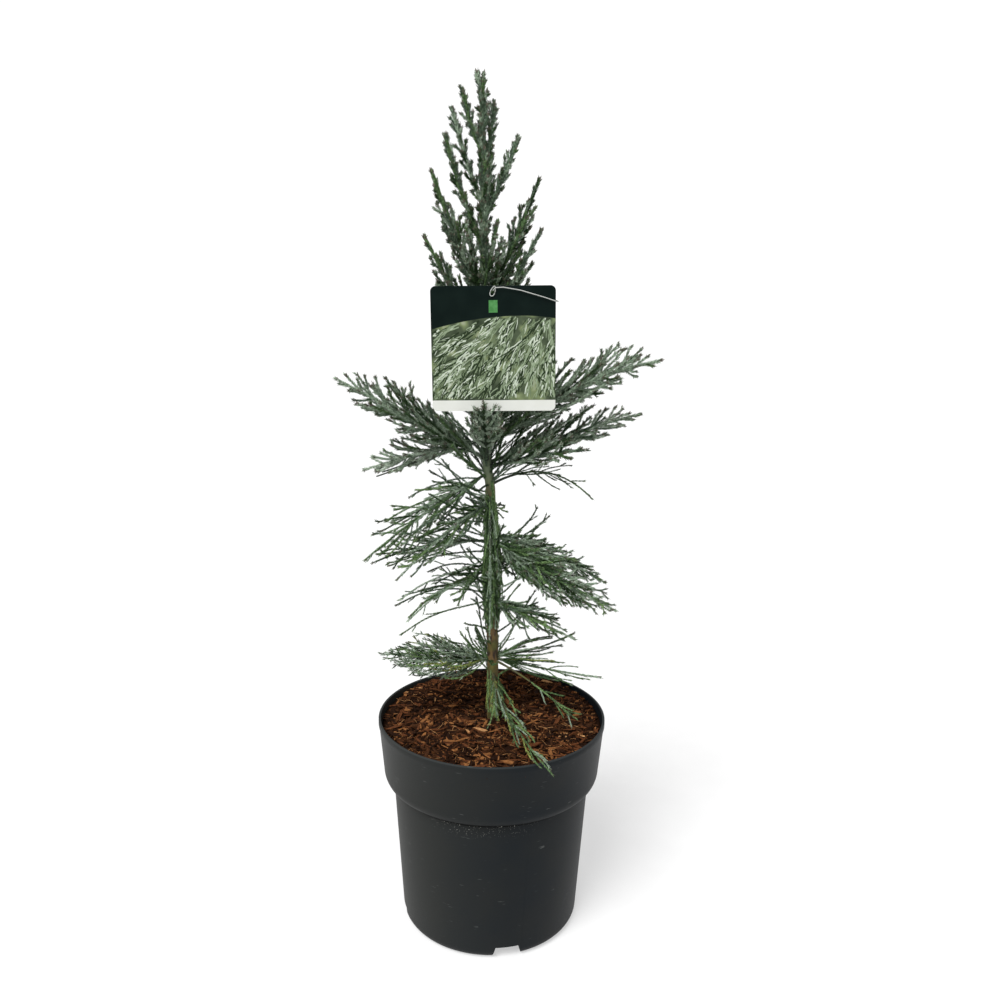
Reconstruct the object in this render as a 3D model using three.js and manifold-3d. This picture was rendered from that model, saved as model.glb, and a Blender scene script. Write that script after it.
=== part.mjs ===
// A young giant sequoia of the blue-green kind, about 0.8 m tall, in a five-litre nursery pot with a hang label.
// Millimetres, +Z up. The origin is the centre of the pot's flat underside. +X is right and -Y is the front.
import * as THREE from 'three';
import { mergeVertices } from 'three/addons/utils/BufferGeometryUtils.js';
import Module from 'manifold-3d';

const wasm = await Module();
wasm.setup();

// Clearances
const GAP = 0.3; // between two pieces that rest on each other
const LEAF_GAP = 0.4; // round a mass of foliage
const SLIVER = 0.1; // detail smaller than this is smoothed off a cut mass

// Pot: a tapered body under a wider collar, open at the top
const POT = {
  height: 216,
  rimRadius: 112.5,
  collarFootRadius: 108,
  collarDepth: 53,
  collarRound: 12.5,
  bodyTopRadius: 98.7,
  bodyFootRadius: 89.5,
  footRound: 10,
  wall: 1.8,
  floor: 2,
  sides: 30,
};
// Drain channels run out under the pot's floor and open at the foot of the wall
const CHANNEL = {
  count: 4,
  firstAngle: -78,
  inner: 42,
  bottomWidth: 30,
  topWidth: 22,
  height: 9,
  skin: 2,
  holeRadius: 4,
};
// Soil: a gently domed bed of bark chips, flat where the trunk stands
const SOIL = { edge: 206, shoulder: 209.5, middle: 211, flatRadius: 14, shoulderShare: 0.6 };

// Trunk: leans to the left as it rises, with a short kink where it was tied
const TRUNK = {
  foot: SOIL.middle + GAP,
  tip: 812,
  footX: 1.5,
  lean: -12.5,
  kink: -4,
  kinkFrom: 454,
  kinkTo: 480,
  flareRadius: 7.6,
  flareHeight: 22,
  lowRadius: 5,
  tipRadius: 1.2,
  taper: 1.2,
  crowding: 1.15, // how much closer together the steps lie near the foot
  sides: 8,
  steps: 16,
};

// Boughs, from the top down. z is the height where one leaves the trunk; azimuth is 0 right, 90 back, 180 left
// and 270 front; reach and rise run from the trunk to its tip; bow lifts its middle off the straight line; bare is
// the share of it without foliage, 0 where leaves clothe it from the trunk out; side and tall are the half widths
// of its foliage, lift raises the foliage's edges above the bough, and full is where along it the foliage is
// widest; sweep is how far its root is turned from the azimuth of its tip.
const BOUGHS = Object.entries({
  top_left: { z: 748, azimuth: 195, reach: 20, rise: 57, bow: -5, side: 5, tall: 5 },
  top_right: { z: 728, azimuth: 35, reach: 12, rise: 68, bow: -9, side: 5, tall: 5 },
  high_left: { z: 704, azimuth: 162, reach: 31, rise: 87, bow: -6, side: 6, tall: 6 },
  high_right: { z: 690, azimuth: 345, reach: 33, rise: 75, bow: 0, side: 7, tall: 7 },
  high_front_left: { z: 668, azimuth: 202, reach: 38, rise: 98, bow: -8, side: 8, tall: 7 },
  high_back: { z: 672, azimuth: 80, reach: 34, rise: 84, bow: -4, side: 9, tall: 7 },
  upper_left: { z: 622, azimuth: 171, reach: 49, rise: 113, bow: -5, side: 13, tall: 12 },
  upper_right: { z: 612, azimuth: 12, reach: 49, rise: 117, bow: -1, side: 12, tall: 12 },
  upper_front: { z: 626, azimuth: 292, reach: 31, rise: 64, bow: 4, side: 9, tall: 7, full: 0.6 },
  upper_back: { z: 606, azimuth: 112, reach: 50, rise: 88, bow: 0, side: 13, tall: 10, full: 0.6 },
  shoulder_left: { z: 592, azimuth: 200, reach: 57, rise: 86, bow: -5, side: 12, tall: 10 },
  shoulder_right: { z: 592, azimuth: 338, reach: 53, rise: 92, bow: 0, side: 9, tall: 8 },
  shoulder_back: { z: 580, azimuth: 40, reach: 56, rise: 76, bow: 4, side: 12, tall: 9, full: 0.6 },
  great_left: { z: 473, azimuth: 188, reach: 140, rise: 79, bow: 1, bare: 0.2, side: 27, tall: 20, lift: 5 },
  great_right: {
    z: 482, azimuth: 355, reach: 160, rise: 90, bow: 15, bare: 0.18,
    side: 28, tall: 20, lift: 6,
  },
  middle_left: {
    z: 494, azimuth: 168, reach: 122, rise: -36, bow: 7, bare: 0.2,
    side: 24, tall: 15, full: 0.55,
  },
  middle_right: { z: 470, azimuth: 12, reach: 150, rise: 46, bow: 8, bare: 0.2, side: 24, tall: 15 },
  middle_front_right: { z: 466, azimuth: 327, reach: 106, rise: 30, bow: 8, bare: 0.25, side: 18, tall: 12 },
  middle_front: {
    z: 470, azimuth: 268, reach: 76, rise: 66, bow: 5, bare: 0.3,
    side: 20, tall: 13, full: 0.6,
  },
  middle_back_left: {
    z: 505, azimuth: 110, reach: 116, rise: 46, bow: 10, bare: 0.2,
    side: 24, tall: 16, full: 0.55,
  },
  middle_back_right: { z: 498, azimuth: 62, reach: 120, rise: 44, bow: 12, bare: 0.2, side: 24, tall: 15 },
  thin_right: { z: 449, azimuth: 6, reach: 99, rise: -14, bow: 18, bare: 0.3, side: 13, tall: 12, lift: 3 },
  low_left: { z: 465, azimuth: 192, reach: 119, rise: -84, bow: 0, bare: 0.22, side: 26, tall: 18, lift: 4 },
  low_front_left: { z: 436, azimuth: 216, reach: 104, rise: -62, bow: 5, side: 20, tall: 13, full: 0.6 },
  low_back_left: {
    z: 395, azimuth: 168, reach: 122, rise: -32, bow: 9, bare: 0.25,
    side: 22, tall: 13, full: 0.6,
  },
  low_right: { z: 399, azimuth: 338, reach: 126, rise: -56, bow: 8, bare: 0.1, side: 26, tall: 17 },
  low_back_right: { z: 402, azimuth: 16, reach: 120, rise: -58, bow: 5, side: 20, tall: 13 },
  low_back: {
    z: 430, azimuth: 98, reach: 112, rise: -46, bow: 8, bare: 0.22,
    side: 24, tall: 14, full: 0.55,
  },
  low_back_far: { z: 372, azimuth: 58, reach: 98, rise: -40, bow: 8, side: 20, tall: 12, full: 0.55 },
  drooping_left: { z: 361, azimuth: 202, reach: 84, rise: -34, bow: 13, side: 16, tall: 13 },
  drooping_right: { z: 335, azimuth: 346, reach: 84, rise: -32, bow: 2, side: 16, tall: 13 },
  hanging_front: { z: 452, azimuth: 272, reach: 24, rise: -148, bow: 34, side: 9, tall: 5 },
  bottom_left: { z: 274, azimuth: 191, reach: 112, rise: 13, bow: -1, bare: 0.18, side: 24, tall: 17 },
  bottom_right: { z: 276, azimuth: 350, reach: 108, rise: -12, bow: -1, bare: 0.2, side: 18, tall: 8 },
  bottom_right_high: { z: 277, azimuth: 16, reach: 86, rise: 17, bow: -4, side: 15, tall: 9, full: 0.6 },
  bottom_front_right: { z: 274, azimuth: 322, reach: 98, rise: -33, bow: 5, side: 11, tall: 6, full: 0.7 },
  bottom_front: {
    z: 262, azimuth: 295, sweep: -24, reach: 133, rise: -48, bow: 8, bare: 0.12,
    side: 13, tall: 6,
  },
  bottom_back: { z: 268, azimuth: 102, reach: 100, rise: 4, bow: 4, side: 20, tall: 9 },
}).map(([name, sizes]) => ({ name, bare: 0, full: 0.5, lift: 0, sweep: 0, ...sizes }));
const LEADER = { from: 738, to: 820, radius: 6.5, full: 0.55, sides: 7, rings: 8 };
const LIMB = { rootRadius: 2.6, tipRadius: 1.3, overlap: 0.14, sides: 5, steps: 3 };
const LARGE_MASS = { fromSide: 16, sides: 7, rings: 9 };
const SMALL_MASS = { sides: 6, rings: 8 };

// Hang label, in front of the trunk, and the thin loop that holds it
const LABEL = {
  size: 108,
  corner: 7,
  thickness: 0.7,
  x: -1.5,
  y: -51,
  z: 582.5,
  turn: 0.02,
  holeRadius: 2.2,
  holeDrop: 4.6,
};
const LOOP = { radius: 0.6, sides: 4, steps: 36, knotRadius: 1.7, knotShift: [-0.6, 3.7, 1.4] };

// ---- Solids and meshes ----

function solidOf(geometry) {
  const bare = geometry.index ? geometry.toNonIndexed() : geometry.clone();
  bare.deleteAttribute('normal');
  bare.deleteAttribute('uv');
  const merged = mergeVertices(bare, 1e-4);
  return new wasm.Manifold(new wasm.Mesh({
    numProp: 3,
    vertProperties: new Float32Array(merged.attributes.position.array),
    triVerts: new Uint32Array(merged.index.array),
  }));
}

function geometryOf(solid) {
  const mesh = solid.getMesh();
  const geometry = new THREE.BufferGeometry();
  geometry.setAttribute('position', new THREE.BufferAttribute(new Float32Array(mesh.vertProperties), 3));
  geometry.setIndex(new THREE.BufferAttribute(new Uint32Array(mesh.triVerts), 1));
  geometry.computeVertexNormals();
  return geometry;
}

function largestBody(solid) {
  const bodies = solid.decompose();
  return bodies.reduce((best, body) => (body.volume() > best.volume() ? body : best));
}

function boxesMeet(a, b) {
  const boxA = a.boundingBox();
  const boxB = b.boundingBox();
  return [0, 1, 2].every((k) => boxA.min[k] < boxB.max[k] && boxB.min[k] < boxA.max[k]);
}

// What is left of a solid after the grown forms of its neighbours are cut away
function cutRound(solid, neighbours) {
  let rest = solid;
  for (const neighbour of neighbours) {
    if (boxesMeet(rest, neighbour)) rest = rest.subtract(neighbour);
  }
  return largestBody(rest.simplify(SLIVER));
}

// A solid of revolution about Z from a profile of [radius, height] points
function turned(profile, sides) {
  const points = profile.map(([radius, height]) => new THREE.Vector2(radius, height));
  return solidOf(new THREE.LatheGeometry(points, sides).rotateX(Math.PI / 2));
}

// ---- Lines of the trunk and the boughs ----

const smooth = THREE.MathUtils.smoothstep;

function trunkCentre(z) {
  const share = (z - TRUNK.foot) / (TRUNK.tip - TRUNK.foot);
  const x = TRUNK.footX + TRUNK.lean * share + TRUNK.kink * smooth(z, TRUNK.kinkFrom, TRUNK.kinkTo);
  return new THREE.Vector3(x, 0, z);
}

function trunkRadius(z) {
  const share = (z - TRUNK.foot) / (TRUNK.tip - TRUNK.foot);
  const stem = THREE.MathUtils.lerp(TRUNK.lowRadius, TRUNK.tipRadius, share ** TRUNK.taper);
  const flare = 1 - smooth(z, TRUNK.foot, TRUNK.foot + TRUNK.flareHeight);
  return stem + (TRUNK.flareRadius - TRUNK.lowRadius) * flare ** 2;
}

function boughPoint(bough, s) {
  const angle = THREE.MathUtils.degToRad(bough.azimuth + bough.sweep * (1 - s));
  const point = trunkCentre(bough.z);
  point.x += bough.reach * s * Math.cos(angle);
  point.y += bough.reach * s * Math.sin(angle);
  point.z += bough.rise * s + 4 * bough.bow * s * (1 - s);
  return point;
}

// The point and the directions at a share s of a bough: along it, level across it, and up from it
function boughFrame(bough, s) {
  const along = boughPoint(bough, s + 0.01).sub(boughPoint(bough, s - 0.01)).normalize();
  const across = new THREE.Vector3(along.y, -along.x, 0).normalize();
  return { point: boughPoint(bough, s), along, across, up: new THREE.Vector3().crossVectors(across, along) };
}

// A round rod bent along the Y axis of a unit cylinder: place(share) gives its centre and directions there
function rod(place, radiusAt, sides, steps) {
  const geometry = new THREE.CylinderGeometry(1, 1, 1, sides, steps);
  const corners = geometry.attributes.position;
  for (let i = 0; i < corners.count; i += 1) {
    const share = corners.getY(i) + 0.5;
    const { point, across, up } = place(share);
    const radius = radiusAt(share);
    point.addScaledVector(across, corners.getX(i) * radius).addScaledVector(up, corners.getZ(i) * radius);
    corners.setXYZ(i, point.x, point.y, point.z);
  }
  return solidOf(geometry);
}

function trunkSolid(grow) {
  const place = (share) => {
    const z = THREE.MathUtils.lerp(TRUNK.foot, TRUNK.tip + grow, share ** TRUNK.crowding);
    return { point: trunkCentre(z), across: new THREE.Vector3(0, -1, 0), up: new THREE.Vector3(-1, 0, 0) };
  };
  return rod(place, (share) => trunkRadius(place(share).point.z) + grow, TRUNK.sides, TRUNK.steps);
}

function limbSolid(bough, grow) {
  const end = bough.bare + LIMB.overlap;
  const place = (share) => boughFrame(bough, share * end);
  const radiusAt = (share) => THREE.MathUtils.lerp(LIMB.rootRadius, LIMB.tipRadius, share) + grow;
  return rod(place, radiusAt, LIMB.sides, LIMB.steps);
}

// ---- Foliage ----

// How far the skin of a mass stands out at a share s of its length and an angle round it, as a share of its size
function lumps(seed, s, angle) {
  const sprays = 0.15 * Math.sin(17 * s + 1.7 * seed + 2.2 * Math.sin(angle));
  const round = 0.1 * Math.cos(3 * angle + 2.3 * seed + 5 * s) + 0.06 * Math.cos(2 * angle - seed);
  return (1 + sprays + round) * (1 - 0.3 * smooth(s, 0.65, 1));
}

// A closed, uneven spindle from a sphere bent along a line; its widest place is at the share full of its length
function spindle(place, half, full, seed, grow, mesh) {
  const geometry = new THREE.SphereGeometry(1, mesh.sides, mesh.rings);
  const corners = geometry.attributes.position;
  const shift = Math.log(0.5) / Math.log(full);
  for (let i = 0; i < corners.count; i += 1) {
    const s = ((corners.getY(i) + 1) / 2) ** (1 / shift);
    const { point, along, across, up } = place(s);
    const girth = Math.hypot(corners.getX(i), corners.getZ(i));
    const swell = lumps(seed, s, Math.atan2(corners.getZ(i), corners.getX(i)));
    const wide = half.side * swell + grow;
    const high = half.tall * swell + grow;
    point.addScaledVector(across, corners.getX(i) * wide).addScaledVector(up, corners.getZ(i) * high);
    point.addScaledVector(up, half.lift * girth ** 2);
    point.addScaledVector(along, corners.getY(i) * (1 - girth) * grow);
    corners.setXYZ(i, point.x, point.y, point.z);
  }
  return solidOf(geometry);
}

function massSolid(bough, seed, grow) {
  const place = (s) => boughFrame(bough, bough.bare + (1 - bough.bare) * s);
  const mesh = bough.side >= LARGE_MASS.fromSide ? LARGE_MASS : SMALL_MASS;
  return spindle(place, bough, bough.full, seed, grow, mesh);
}

function leaderSolid(grow) {
  const half = { side: LEADER.radius, tall: LEADER.radius, lift: 0 };
  const place = (s) => ({
    point: trunkCentre(THREE.MathUtils.lerp(LEADER.from, LEADER.to, s)),
    along: new THREE.Vector3(0, 0, 1),
    across: new THREE.Vector3(0, -1, 0),
    up: new THREE.Vector3(-1, 0, 0),
  });
  return spindle(place, half, LEADER.full, 0, grow, LEADER);
}

// ---- Pot and soil ----

function potOuter() {
  const collarFoot = POT.height - POT.collarDepth;
  const step = POT.collarFootRadius - POT.bodyTopRadius;
  const round = [0, 0.33, 0.7, 1].map((share) => {
    const angle = share * Math.PI / 2;
    return [POT.bodyTopRadius + step * Math.cos(angle), collarFoot - POT.collarRound * Math.sin(angle)];
  });
  const foot = [0, 0.5, 1].map((share) => {
    const angle = share * Math.PI / 2;
    const centre = POT.bodyFootRadius - POT.footRound;
    return [centre + POT.footRound * Math.cos(angle), POT.footRound * (1 - Math.sin(angle))];
  });
  return [[POT.rimRadius, POT.height], ...round, ...foot];
}

function potInner(inset) {
  const collarFoot = POT.height - POT.collarDepth;
  const shrink = POT.wall + inset;
  return [
    [POT.rimRadius - shrink, POT.height],
    [POT.collarFootRadius - shrink, collarFoot],
    [POT.bodyTopRadius - shrink, collarFoot - POT.collarRound],
    [POT.bodyFootRadius - shrink, POT.footRound],
    [POT.bodyFootRadius - POT.footRound, POT.floor + inset],
  ];
}

// A bar of trapezium section that runs out from the middle under the pot's floor, grown on its top and sides
function channelBar(angle, grow, inner, outer) {
  const bottom = CHANNEL.bottomWidth / 2 + grow;
  const top = CHANNEL.topWidth / 2 + grow;
  const outline = new THREE.Shape([
    new THREE.Vector2(-bottom, -1),
    new THREE.Vector2(bottom, -1),
    new THREE.Vector2(top, CHANNEL.height + grow),
    new THREE.Vector2(-top, CHANNEL.height + grow),
  ]);
  const bar = new THREE.ExtrudeGeometry(outline, { depth: outer - inner, bevelEnabled: false });
  bar.rotateX(Math.PI / 2).rotateZ(Math.PI / 2);
  return solidOf(bar.translate(inner, 0, 0).rotateZ(angle));
}

const channelAngles = Array.from({ length: CHANNEL.count }, (_, k) =>
  THREE.MathUtils.degToRad(CHANNEL.firstAngle + (360 / CHANNEL.count) * k));

function potSolid() {
  const outer = potOuter();
  const shell = turned([[0, 0], ...outer.reverse(), ...potInner(0), [0, POT.floor]], POT.sides);
  const inside = turned([[0, POT.floor / 2], ...potInner(-POT.wall / 2).reverse(), [0, POT.height]], POT.sides);
  let pot = shell;
  for (const angle of channelAngles) {
    const cover = channelBar(angle, CHANNEL.skin, CHANNEL.inner - CHANNEL.skin, POT.bodyTopRadius);
    pot = pot.add(cover.intersect(inside));
  }
  for (const angle of channelAngles) {
    pot = pot.subtract(channelBar(angle, 0, CHANNEL.inner, POT.bodyTopRadius));
    const drill = new THREE.CylinderGeometry(CHANNEL.holeRadius, CHANNEL.holeRadius, 4 * CHANNEL.skin, 8);
    const middle = (CHANNEL.inner + POT.bodyFootRadius) / 2;
    drill.rotateX(Math.PI / 2).translate(middle, 0, CHANNEL.height + CHANNEL.skin / 2).rotateZ(angle);
    pot = pot.subtract(solidOf(drill));
  }
  return pot;
}

function soilSolid() {
  const side = potInner(GAP).slice(1);
  const drop = (POT.height - SOIL.edge) / POT.collarDepth;
  const edgeRadius = THREE.MathUtils.lerp(POT.rimRadius, POT.collarFootRadius, drop) - POT.wall - GAP;
  const top = [
    [0, SOIL.middle],
    [SOIL.flatRadius, SOIL.middle],
    [edgeRadius * SOIL.shoulderShare, SOIL.shoulder],
    [edgeRadius, SOIL.edge],
  ];
  let soil = turned([[0, POT.floor + GAP], ...[...top, ...side].reverse()], POT.sides);
  const clearance = CHANNEL.skin + GAP;
  for (const angle of channelAngles) {
    soil = soil.subtract(channelBar(angle, clearance, CHANNEL.inner - clearance, POT.rimRadius));
  }
  return soil;
}

// ---- Label and loop ----

function labelShape(grow) {
  const half = LABEL.size / 2 + grow;
  const inner = half - LABEL.corner;
  const shape = new THREE.Shape();
  shape.moveTo(-inner, -half);
  shape.absarc(inner, -inner, LABEL.corner, -Math.PI / 2, 0);
  shape.absarc(inner, inner, LABEL.corner, 0, Math.PI / 2);
  shape.absarc(-inner, inner, LABEL.corner, Math.PI / 2, Math.PI);
  shape.absarc(-inner, -inner, LABEL.corner, Math.PI, Math.PI * 1.5);
  return shape;
}

const holeRise = LABEL.size / 2 - LABEL.holeDrop;
const hole = { x: LABEL.x - holeRise * Math.sin(LABEL.turn), y: LABEL.y, z: LABEL.z + holeRise };

function labelSolid(grow) {
  const shape = labelShape(grow);
  if (grow === 0) {
    const rim = new THREE.Path();
    rim.absarc(0, holeRise, LABEL.holeRadius, 0, Math.PI * 2, true);
    shape.holes.push(rim);
  }
  const depth = LABEL.thickness + 2 * grow;
  const sheet = new THREE.ExtrudeGeometry(shape, { depth, bevelEnabled: false, curveSegments: 4 });
  sheet.translate(0, 0, -depth / 2).rotateX(Math.PI / 2).rotateY(-LABEL.turn);
  return solidOf(sheet.translate(LABEL.x, LABEL.y, LABEL.z));
}

// Through the hole, along the top of the label's face, round its right edge, back round the trunk and home
function loopSolid(grow) {
  const route = [
    [hole.x, hole.y + 3, hole.z + 0.4],
    [hole.x, hole.y - 0.6, hole.z + 0.4],
    [hole.x + 2, hole.y - 2.6, hole.z + 3],
    [hole.x + 9, hole.y - 2.6, hole.z + 3.4],
    [hole.x + 24, hole.y - 2.2, hole.z + 1],
    [hole.x + 45, hole.y - 2.2, hole.z - 4.8],
    [hole.x + 55, hole.y - 2, hole.z - 8],
    [hole.x + 56.5, hole.y + 1.5, hole.z - 8],
    [hole.x + 50, hole.y + 9, hole.z - 5.5],
    [hole.x + 28, hole.y + 34, hole.z],
    [-3.5, 2, hole.z + 2],
    [-10, 5.8, hole.z + 3],
    [-16, 0, hole.z + 3],
    [-11, hole.y + 28, hole.z + 3],
    [hole.x - 1.5, hole.y + 5, hole.z + 2],
  ].map(([x, y, z]) => new THREE.Vector3(x, y, z));
  const strand = new THREE.CatmullRomCurve3(route, false, 'centripetal');
  const section = new THREE.Shape().absarc(0, 0, LOOP.radius + grow, 0, Math.PI * 2);
  const options = { steps: LOOP.steps, extrudePath: strand, curveSegments: LOOP.sides / 2 };
  const knot = new THREE.SphereGeometry(LOOP.knotRadius + grow, 6, 5);
  knot.translate(hole.x, hole.y, hole.z).translate(...LOOP.knotShift);
  return solidOf(new THREE.ExtrudeGeometry(section, options)).add(solidOf(knot));
}

// ---- The plant in its pot ----

const COLOURS = {
  pot: 0x2f363a,
  soil: 0x5a321e,
  bark: 0x6b5637,
  limb: 0x4c5a34,
  topFoliage: 0x466458,
  lowFoliage: 0x54744f,
  label: 0xdfe6dc,
  loop: 0xd9dad6,
};

const group = new THREE.Group();

function addPiece(name, solid, colour, roughness) {
  const material = new THREE.MeshStandardMaterial({ color: colour, roughness, metalness: 0 });
  const mesh = new THREE.Mesh(geometryOf(solid), material);
  mesh.name = name;
  group.add(mesh);
}

const taken = [trunkSolid(GAP)];
addPiece('pot', potSolid(), COLOURS.pot, 0.45);
addPiece('soil', soilSolid(), COLOURS.soil, 0.95);
addPiece('trunk', trunkSolid(0), COLOURS.bark, 0.8);
addPiece('label', labelSolid(0), COLOURS.label, 0.35);
addPiece('label_loop', loopSolid(0), COLOURS.loop, 0.4);
taken.push(labelSolid(LEAF_GAP), loopSolid(LEAF_GAP));

for (const bough of BOUGHS.filter(({ bare }) => bare > 0)) {
  addPiece(`bough_${bough.name}`, cutRound(limbSolid(bough, 0), taken), COLOURS.limb, 0.8);
  taken.push(limbSolid(bough, GAP));
}

addPiece('foliage_leader', cutRound(leaderSolid(0), taken), COLOURS.topFoliage, 0.75);
taken.push(leaderSolid(LEAF_GAP));
BOUGHS.forEach((bough, index) => {
  const colour = bough.z > TRUNK.kinkFrom ? COLOURS.topFoliage : COLOURS.lowFoliage;
  addPiece(`foliage_${bough.name}`, cutRound(massSolid(bough, index, 0), taken), colour, 0.75);
  taken.push(massSolid(bough, index, LEAF_GAP));
});

export default group;
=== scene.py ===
"""A young giant sequoia in a round nursery pot, with its hang label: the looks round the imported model.

Sizes are in millimetres, as in the model, and make_piece turns them into Blender's metres. Each mass of
foliage in the model gives its bough's line and the space that the bough's twigs grow in.
"""
import math
from collections import namedtuple

import bmesh
import bpy
import numpy as np
from mathutils import Matrix, Vector, noise
from mathutils.bvhtree import BVHTree


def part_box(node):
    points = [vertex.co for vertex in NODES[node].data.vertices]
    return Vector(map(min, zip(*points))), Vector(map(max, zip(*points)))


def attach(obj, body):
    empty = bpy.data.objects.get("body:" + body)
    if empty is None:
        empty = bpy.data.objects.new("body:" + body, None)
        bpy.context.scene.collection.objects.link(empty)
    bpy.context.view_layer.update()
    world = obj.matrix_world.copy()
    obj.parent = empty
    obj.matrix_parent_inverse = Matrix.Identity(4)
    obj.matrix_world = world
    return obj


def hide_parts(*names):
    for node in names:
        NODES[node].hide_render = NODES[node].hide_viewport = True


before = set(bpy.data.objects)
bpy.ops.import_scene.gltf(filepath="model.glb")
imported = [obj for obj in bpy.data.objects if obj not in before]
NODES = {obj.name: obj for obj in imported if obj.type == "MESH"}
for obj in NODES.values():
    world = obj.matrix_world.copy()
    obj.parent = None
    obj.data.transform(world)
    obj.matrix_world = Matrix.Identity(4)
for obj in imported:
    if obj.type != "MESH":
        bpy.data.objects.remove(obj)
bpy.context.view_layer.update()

MM = 0.001
SEED = 41
GOLDEN = math.radians(137.5)
X = np.array([1.0, 0.0, 0.0])
Z = np.array([0.0, 0.0, 1.0])
WHITE = (1, 1, 1, 1)
# What the pieces that vary by chance add to the seed
SEEDS = {"leaves": 100, "soil": 200, "fronds": 201, "limbs": 309}
# The least number of points in a line, of spots on a mass and of leaves on a shoot
FEWEST = 4


def seeded(number):
    """The chance draws of one bough or piece, which are the same on each run."""
    return np.random.default_rng([SEED, number])


def new_object(name, data):
    thing = bpy.data.objects.new(name, data)
    bpy.context.scene.collection.objects.link(thing)
    return thing


# ---- Shader nodes ----


def feed(tree, node, inputs):
    """Gives each input of a node its value, or links it from another node's socket."""
    for key, value in inputs.items():
        if isinstance(value, bpy.types.NodeSocket):
            tree.links.new(value, node.inputs[key])
        else:
            node.inputs[key].default_value = value


def add_node(tree, kind, inputs=None, **settings):
    node = tree.nodes.new(f"ShaderNode{kind}")
    for name, value in settings.items():
        setattr(node, name, value)
    feed(tree, node, inputs or {})
    return node


def object_place(tree):
    return add_node(tree, "TexCoord").outputs["Object"]


def between(tree, value, low, high):
    """A mask that rises from 0 to 1 as a value goes from low to high."""
    ramp = add_node(tree, "MapRange", {"Value": value, "From Min": low, "From Max": high})
    return ramp.outputs["Result"]


def times(tree, first, *others):
    """The product of masks and numbers."""
    for other in others:
        first = add_node(tree, "Math", {0: first, 1: other}, operation="MULTIPLY").outputs[0]
    return first


def mixed(tree, factor, first, second):
    """A mix of two colours. Each of the three is a socket or a value."""
    return add_node(tree, "Mix", {0: factor, 6: first, 7: second}, data_type="RGBA").outputs[2]


# ---- Camera and light ----

CAMERA = {
    "right": 10.8, "back": -910.8, "up": 650.0, "pitch": 13.23, "yaw": -0.33, "roll": 0.734,
    "lens": 35.3, "sensor": 36, "nearest": 10}
SUN = {"from": (-0.45, -0.8, 1.2), "angle": 30, "power": 3.6}
FILL = {"from": (0.9, -0.8, 0.5), "angle": 60, "power": 0.35}
SKY = {"light": 0.46, "seen": 1.05}


def place_camera():
    pitch, yaw, roll = (math.radians(CAMERA[key]) for key in ("pitch", "yaw", "roll"))
    view = Vector((math.sin(yaw) * math.cos(pitch), math.cos(yaw) * math.cos(pitch), -math.sin(pitch)))
    level = Vector((math.cos(yaw), -math.sin(yaw), 0))
    upright = level.cross(view)
    right = level * math.cos(roll) + upright * math.sin(roll)
    up = right.cross(view)
    camera = new_object("camera", bpy.data.cameras.new("camera"))
    camera.data.lens = CAMERA["lens"]
    camera.data.sensor_width = CAMERA["sensor"]
    camera.data.clip_start = CAMERA["nearest"] * MM
    place = Vector((CAMERA["right"], CAMERA["back"], CAMERA["up"])) * MM
    turn = Matrix((right, up, -view)).transposed()
    camera.matrix_world = Matrix.Translation(place) @ turn.to_4x4()
    bpy.context.scene.camera = camera


def place_sun(name, settings):
    light = bpy.data.lights.new(name, "SUN")
    light.angle = math.radians(settings["angle"])
    light.energy = settings["power"]
    lamp = new_object(name, light)
    lamp.location = settings["from"]
    lamp.rotation_euler = (-Vector(settings["from"])).to_track_quat("-Z", "Y").to_euler()


def place_studio():
    """A wide soft key light, a weaker fill, and a white sky that lights less than it shows."""
    world = bpy.data.worlds.new("studio")
    world.use_nodes = True
    tree = world.node_tree
    seen = add_node(tree, "LightPath").outputs["Is Camera Ray"]
    strength = add_node(tree, "MapRange", {"Value": seen, "To Min": SKY["light"], "To Max": SKY["seen"]})
    feed(tree, tree.nodes["Background"], {"Strength": strength.outputs["Result"], "Color": WHITE})
    bpy.context.scene.world = world
    bpy.context.scene.view_settings.view_transform = "Standard"
    place_sun("key", SUN)
    place_sun("fill", FILL)


# ---- Meshes and lines ----

# Directions steeper than this share of upright take their sides from X, and the others from Z
STEEP = 0.96
# Corners this near to each other in height are one ring
SAME_LEVEL = 0.1


def corners_of(node):
    mesh = NODES[node].data
    flat = np.zeros(len(mesh.vertices) * 3, np.float32)
    mesh.vertices.foreach_get("co", flat)
    return flat.reshape(-1, 3).astype(float) / MM


def triangles_of(node):
    mesh = NODES[node].data
    mesh.calc_loop_triangles()
    flat = np.zeros(len(mesh.loop_triangles) * 3, np.int32)
    mesh.loop_triangles.foreach_get("vertices", flat)
    return flat.reshape(-1, 3)


def rings_of(node):
    """The rings of corners of a turned solid, by height."""
    corners = corners_of(node)
    levels = np.unique(np.round(corners[:, 2], 1))
    return {float(z): corners[np.abs(corners[:, 2] - z) < SAME_LEVEL] for z in levels}


def make_piece(name, corners, faces, materials, picks=None, smooth=True):
    """A mesh object from corners in millimetres and faces that all have the same number of corners."""
    mesh = bpy.data.meshes.new(name)
    faces = np.asarray(faces, np.int32)
    mesh.vertices.add(len(corners))
    mesh.vertices.foreach_set("co", (np.asarray(corners) * MM).astype(np.float32).ravel())
    mesh.loops.add(faces.size)
    mesh.loops.foreach_set("vertex_index", faces.ravel())
    mesh.polygons.add(len(faces))
    mesh.polygons.foreach_set("loop_start", np.arange(0, faces.size, faces.shape[1], dtype=np.int32))
    for material in materials:
        mesh.materials.append(material)
    if picks is not None:
        mesh.polygons.foreach_set("material_index", np.asarray(picks, np.int32))
    mesh.polygons.foreach_set("use_smooth", np.full(len(faces), smooth))
    mesh.update(calc_edges=True)
    return new_object(name, mesh)


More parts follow.
